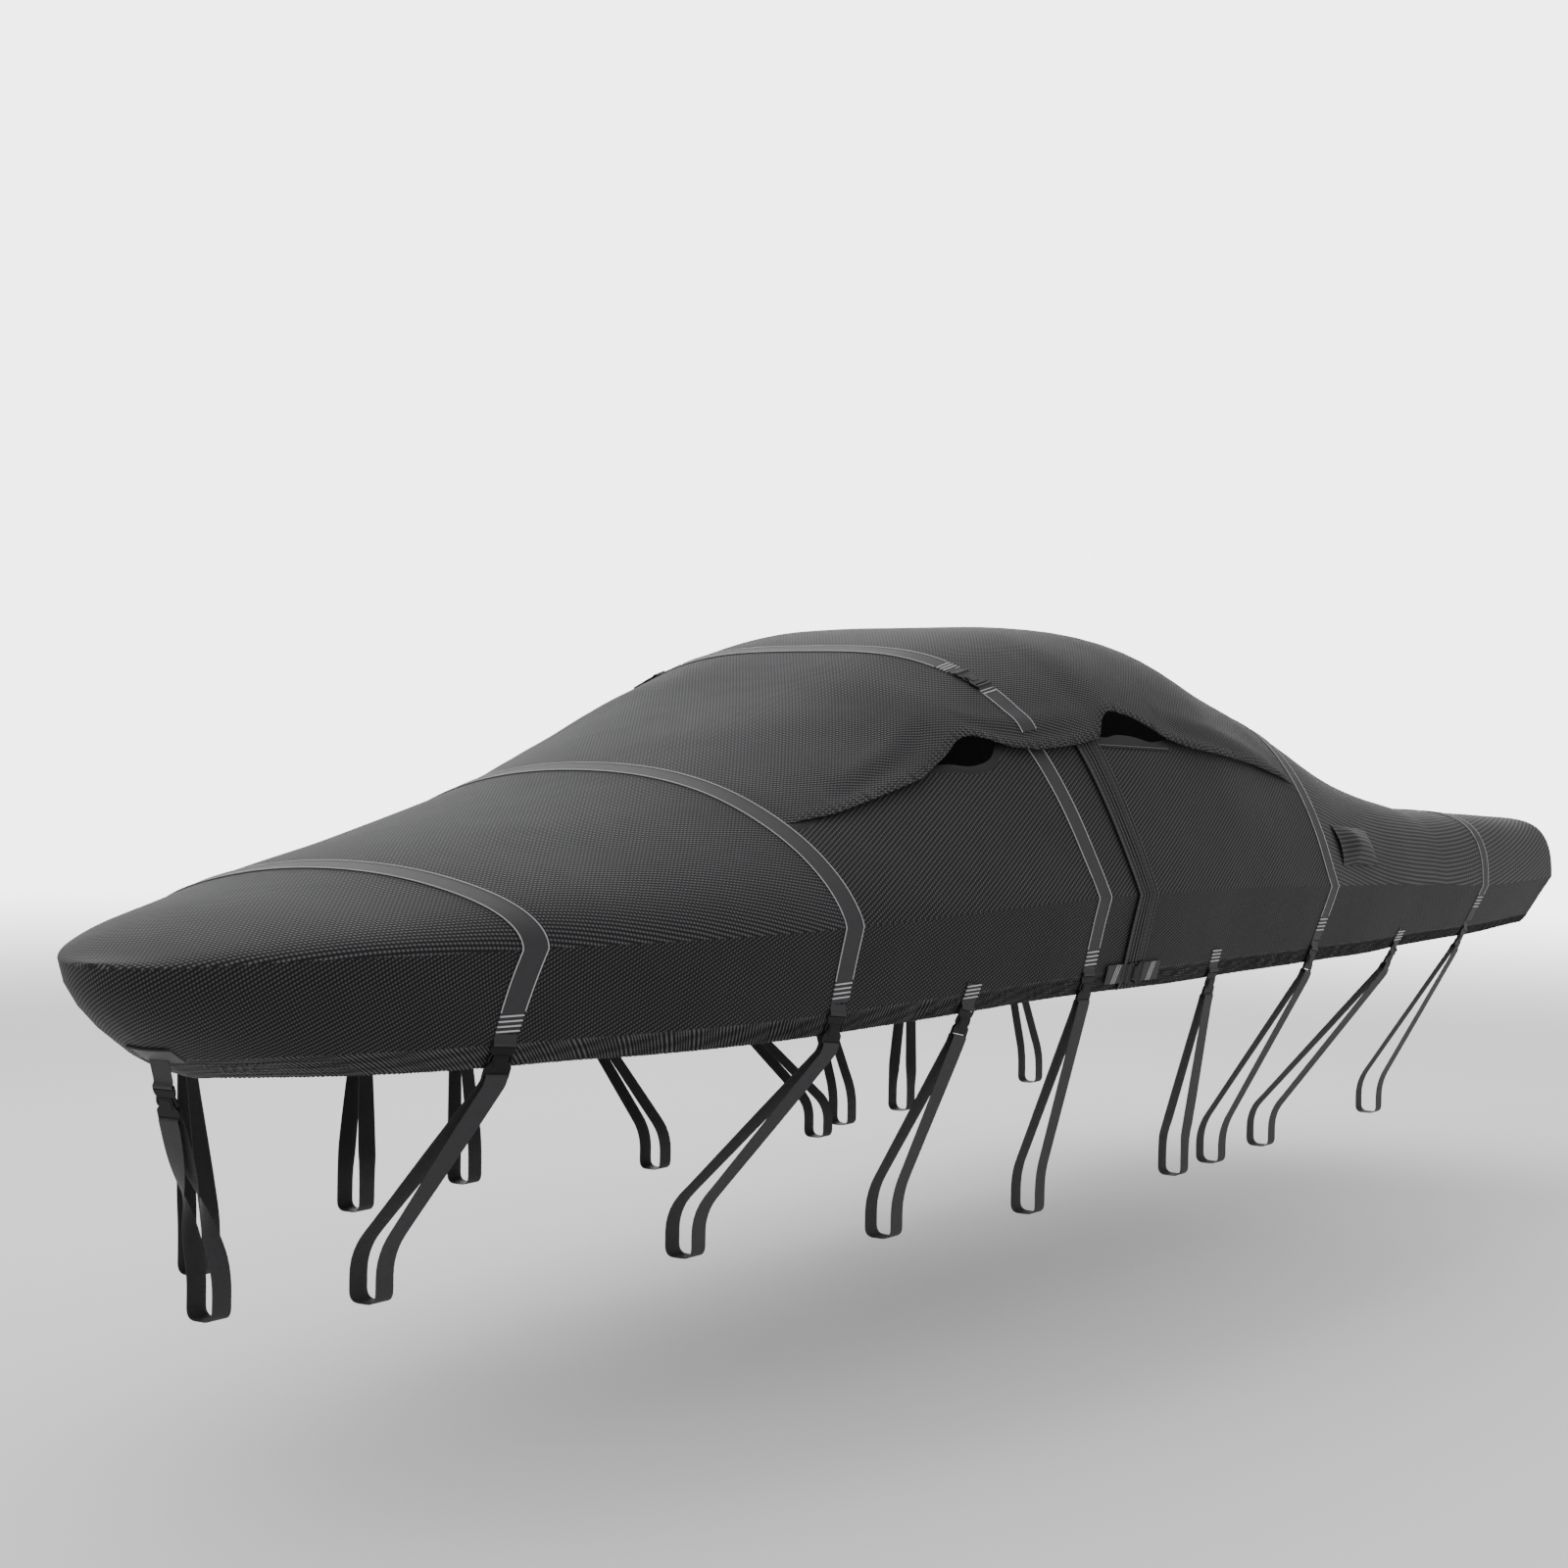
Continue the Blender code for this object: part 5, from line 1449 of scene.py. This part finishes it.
def hanger_frame(hanger, side):
    drop = LOW_DROP if hanger["tab"] else BAND_END
    frame = skirt_frame(hanger["station"] - hanger["forward"], drop, side, hanger["lean"])
    down_by = SKIRT_GAP + BAND_CLEAR + hanger["lean"] * BAND_WIDTH / 2
    frame.origin = frame.origin + down_by * frame.down
    return frame


TAB_BARS = (-0.0450, -0.0325, -0.0200, -0.0075)


def make_tie_downs():
    for number, values in enumerate(HANGERS, start=1):
        hanger = dict(zip(HANGER_COLUMNS, values))
        for word, side in SIDES.items():
            frame = hanger_frame(hanger, side)
            clip = f"clip_{number}_{word}"
            place_buckle(f"{clip}_buckle", BUCKLE, frame, clip)
            tab_on_bar(f"{clip}_tab", frame, hanger["tab"] or 0.0005, clip)
            if hanger["tab"]:
                tab_bars(f"{clip}_bars", frame, TAB_BARS, 0.0030, -side * hanger["lean"])
            make_loop(f"loop_{number}_{word}", frame, hanger, side, [clip])


BOW_FOOT = {"foot_station": 0.41, "foot_half": 0.0, "foot_height": 0.43}
BOW_DROP = 0.80
BOW_TAB = 0.045
BOW_DOWN = np.array([0.30, 0.0, -0.954])


def make_bow_tie_down():
    drops = [BOW_DROP - 0.02, BOW_DROP, BOW_DROP + 0.02]
    above, here, below = skirt_points(0.0004, drops) * np.array([1, 0, 1])
    fall = unit(below - above)
    forward = np.array([fall[2], 0.0, -fall[0]])
    frame = Frame(here + STAND * forward + BOW_TAB * BOW_DOWN, [0, 1, 0], BOW_DOWN)
    place_buckle("clip_bow_buckle", BUCKLE, frame, "clip_bow")
    tab_on_bar("clip_bow_tab", frame, BOW_TAB, "clip_bow")
    make_loop("loop_bow", frame, BOW_FOOT, 1, ["clip_bow"])


make_tie_downs()
make_bow_tie_down()

# %% [markdown]
# The flat buckles of the plackets and of the hood's band are the same moulding, lying level.

# %% Flat buckles
PLACKET_TAB = 0.115
PLACKET_CLIP_DROP = 0.82
PLACKET_CLIP_SCALE = 0.96
PLACKET_CLIP_LIFT = 0.0083
PLACKET_BARS = (-0.128, -0.1165, -0.105, 0.105, 0.1165, 0.128)


def make_placket_clips():
    middle = sum(PLACKET_ROWS) / 2 + 0.010
    reach = 0.062 + PLACKET_TAB + FLAT_SHIFT
    half = STRAP_WIDTH / 2 * PLACKET_CLIP_SCALE
    for word, side in SIDES.items():
        across = skirt_frame(middle, PLACKET_CLIP_DROP, side)
        origin = across.origin + PLACKET_CLIP_LIFT * across.out
        frame = Frame(origin, -side * across.down, side * across.width)
        clip = f"placket_clip_{word}"
        place_buckle(f"{clip}_buckle", FLAT_BUCKLE, frame, clip)
        tab_on_bar(f"{clip}_tab_fore", frame, reach, clip, FLAT_SHIFT, False, PLACKET_CLIP_SCALE)
        tab_on_bar(f"{clip}_tab_aft", frame, reach - 0.0017, clip, FLAT_SHIFT, True, PLACKET_CLIP_SCALE)
        tab_bars(f"{clip}_bars", frame, PLACKET_BARS, 0.0028, side * 0.3, half, 0.0014)


def make_hood_clips():
    near = hood_clip_share + np.array([-0.03, 0, 0.03]) / top_outline(CROWN_BAND_STATION)[2]
    points, stand = hood_surface(across_band(CROWN_BAND_STATION)[[0, 3, 6]], near)
    points = points + (stand + HOOD_CLIP_LIFT)[..., None] * normals_of(points)
    for word, side in SIDES.items():
        width = side * on_side(points[2, 1] - points[0, 1], side)
        down = on_side(points[1, 2] - points[1, 0], side)
        frame = Frame(on_side(points[1, 1], side), width, down)
        frame.origin = frame.origin + HOOD_CLIP_STAND * frame.out
        clip = f"band_3_clip_{word}"
        place_buckle(f"{clip}_buckle", FLAT_BUCKLE, frame, clip)
        tab_on_bar(f"{clip}_tab_upper", frame, 0.012, clip, FLAT_SHIFT)
        tab_on_bar(f"{clip}_tab_lower", frame, 0.004, clip, FLAT_SHIFT, True)


make_placket_clips()
make_hood_clips()

# %% [markdown]
# ## Light, floor and finish
# A wide soft light hangs above the far side, so the top of the cover is the brightest and its near side
# falls off, as in the photograph.

# %% Floor and light
SKY_STRENGTH = 0.86
WALL_STRENGTH = 4.5
LAMP_WATTS = 370.0
FLOOR_REACH = 60.0


def make_floor():
    made, tree, shader = new_material("matt painted floor", Roughness=0.8)
    place = add(tree, "TexCoord", output="Object")
    cloud = add(tree, "TexNoise", {"Vector": place, "Scale": 0.6, "Detail": 3.0}, "Fac")
    colour = add(tree, "Mix", {0: cloud, 6: linear("#f4f4f4"), 7: linear("#f8f8f8")}, 2, data_type="RGBA")
    away = add(tree, "VectorMath", {0: place}, "Value", operation="LENGTH")
    fade = {"Value": away, "From Min": 9.0, "From Max": 30.0, "To Min": 1.0, "To Max": 0.0}
    alpha = add(tree, "MapRange", fade, interpolation_type="SMOOTHSTEP")
    plug(shader, {"Base Color": colour, "Alpha": alpha})
    corners = [(x * FLOOR_REACH, y * FLOOR_REACH, FLOOR) for x, y in ((-1, -1), (1, -1), (1, 1), (-1, 1))]
    floor = add_mesh("floor", corners, [(0, 1, 2, 3)], [made])


def soft_light(name, place, aim, size, power):
    data = bpy.data.lights.new(name, "AREA")
    data.shape = "RECTANGLE"
    data.size, data.size_y = size
    data.energy = power
    lamp = bpy.data.objects.new(name, data)
    bpy.context.scene.collection.objects.link(lamp)
    back = unit(np.array(place, dtype=float) - np.array(aim, dtype=float))
    right = unit(np.cross([0, 1, 0], back))
    up = np.cross(back, right)
    rotation = Matrix([[*pair] for pair in zip(right, up, back)]).to_4x4()
    lamp.matrix_world = Matrix.Translation(place) @ rotation


def make_sky(shade, strength, glow, toward, spread):
    """Even light from all round, and a brighter part of the studio wall in one direction."""
    world = bpy.data.worlds.new("studio")
    world.use_nodes = True
    tree = world.node_tree
    ray = add(tree, "TexCoord", output="Generated")
    near = add(tree, "VectorMath", {0: ray, 1: toward}, "Value", operation="DOT_PRODUCT")
    edge = {"From Min": math.cos(spread), "From Max": math.cos(spread * 0.6)}
    levels = {"Value": near, **edge, "To Min": strength, "To Max": glow}
    wall = add(tree, "MapRange", levels, interpolation_type="SMOOTHSTEP")
    plug(tree.nodes["Background"], {"Color": linear(shade), "Strength": wall})
    bpy.context.scene.world = world


make_floor()
ahead = (math.cos(CAMERA_YAW), math.sin(CAMERA_YAW), 0.10)  # from the camera's place past the cover
make_sky("#ffffff", SKY_STRENGTH, WALL_STRENGTH, ahead, math.radians(35))
soft_light("overhead", (0.5, 3.2, 5.0), (0, 0.4, -1.0), (14.0, 7.0), LAMP_WATTS)
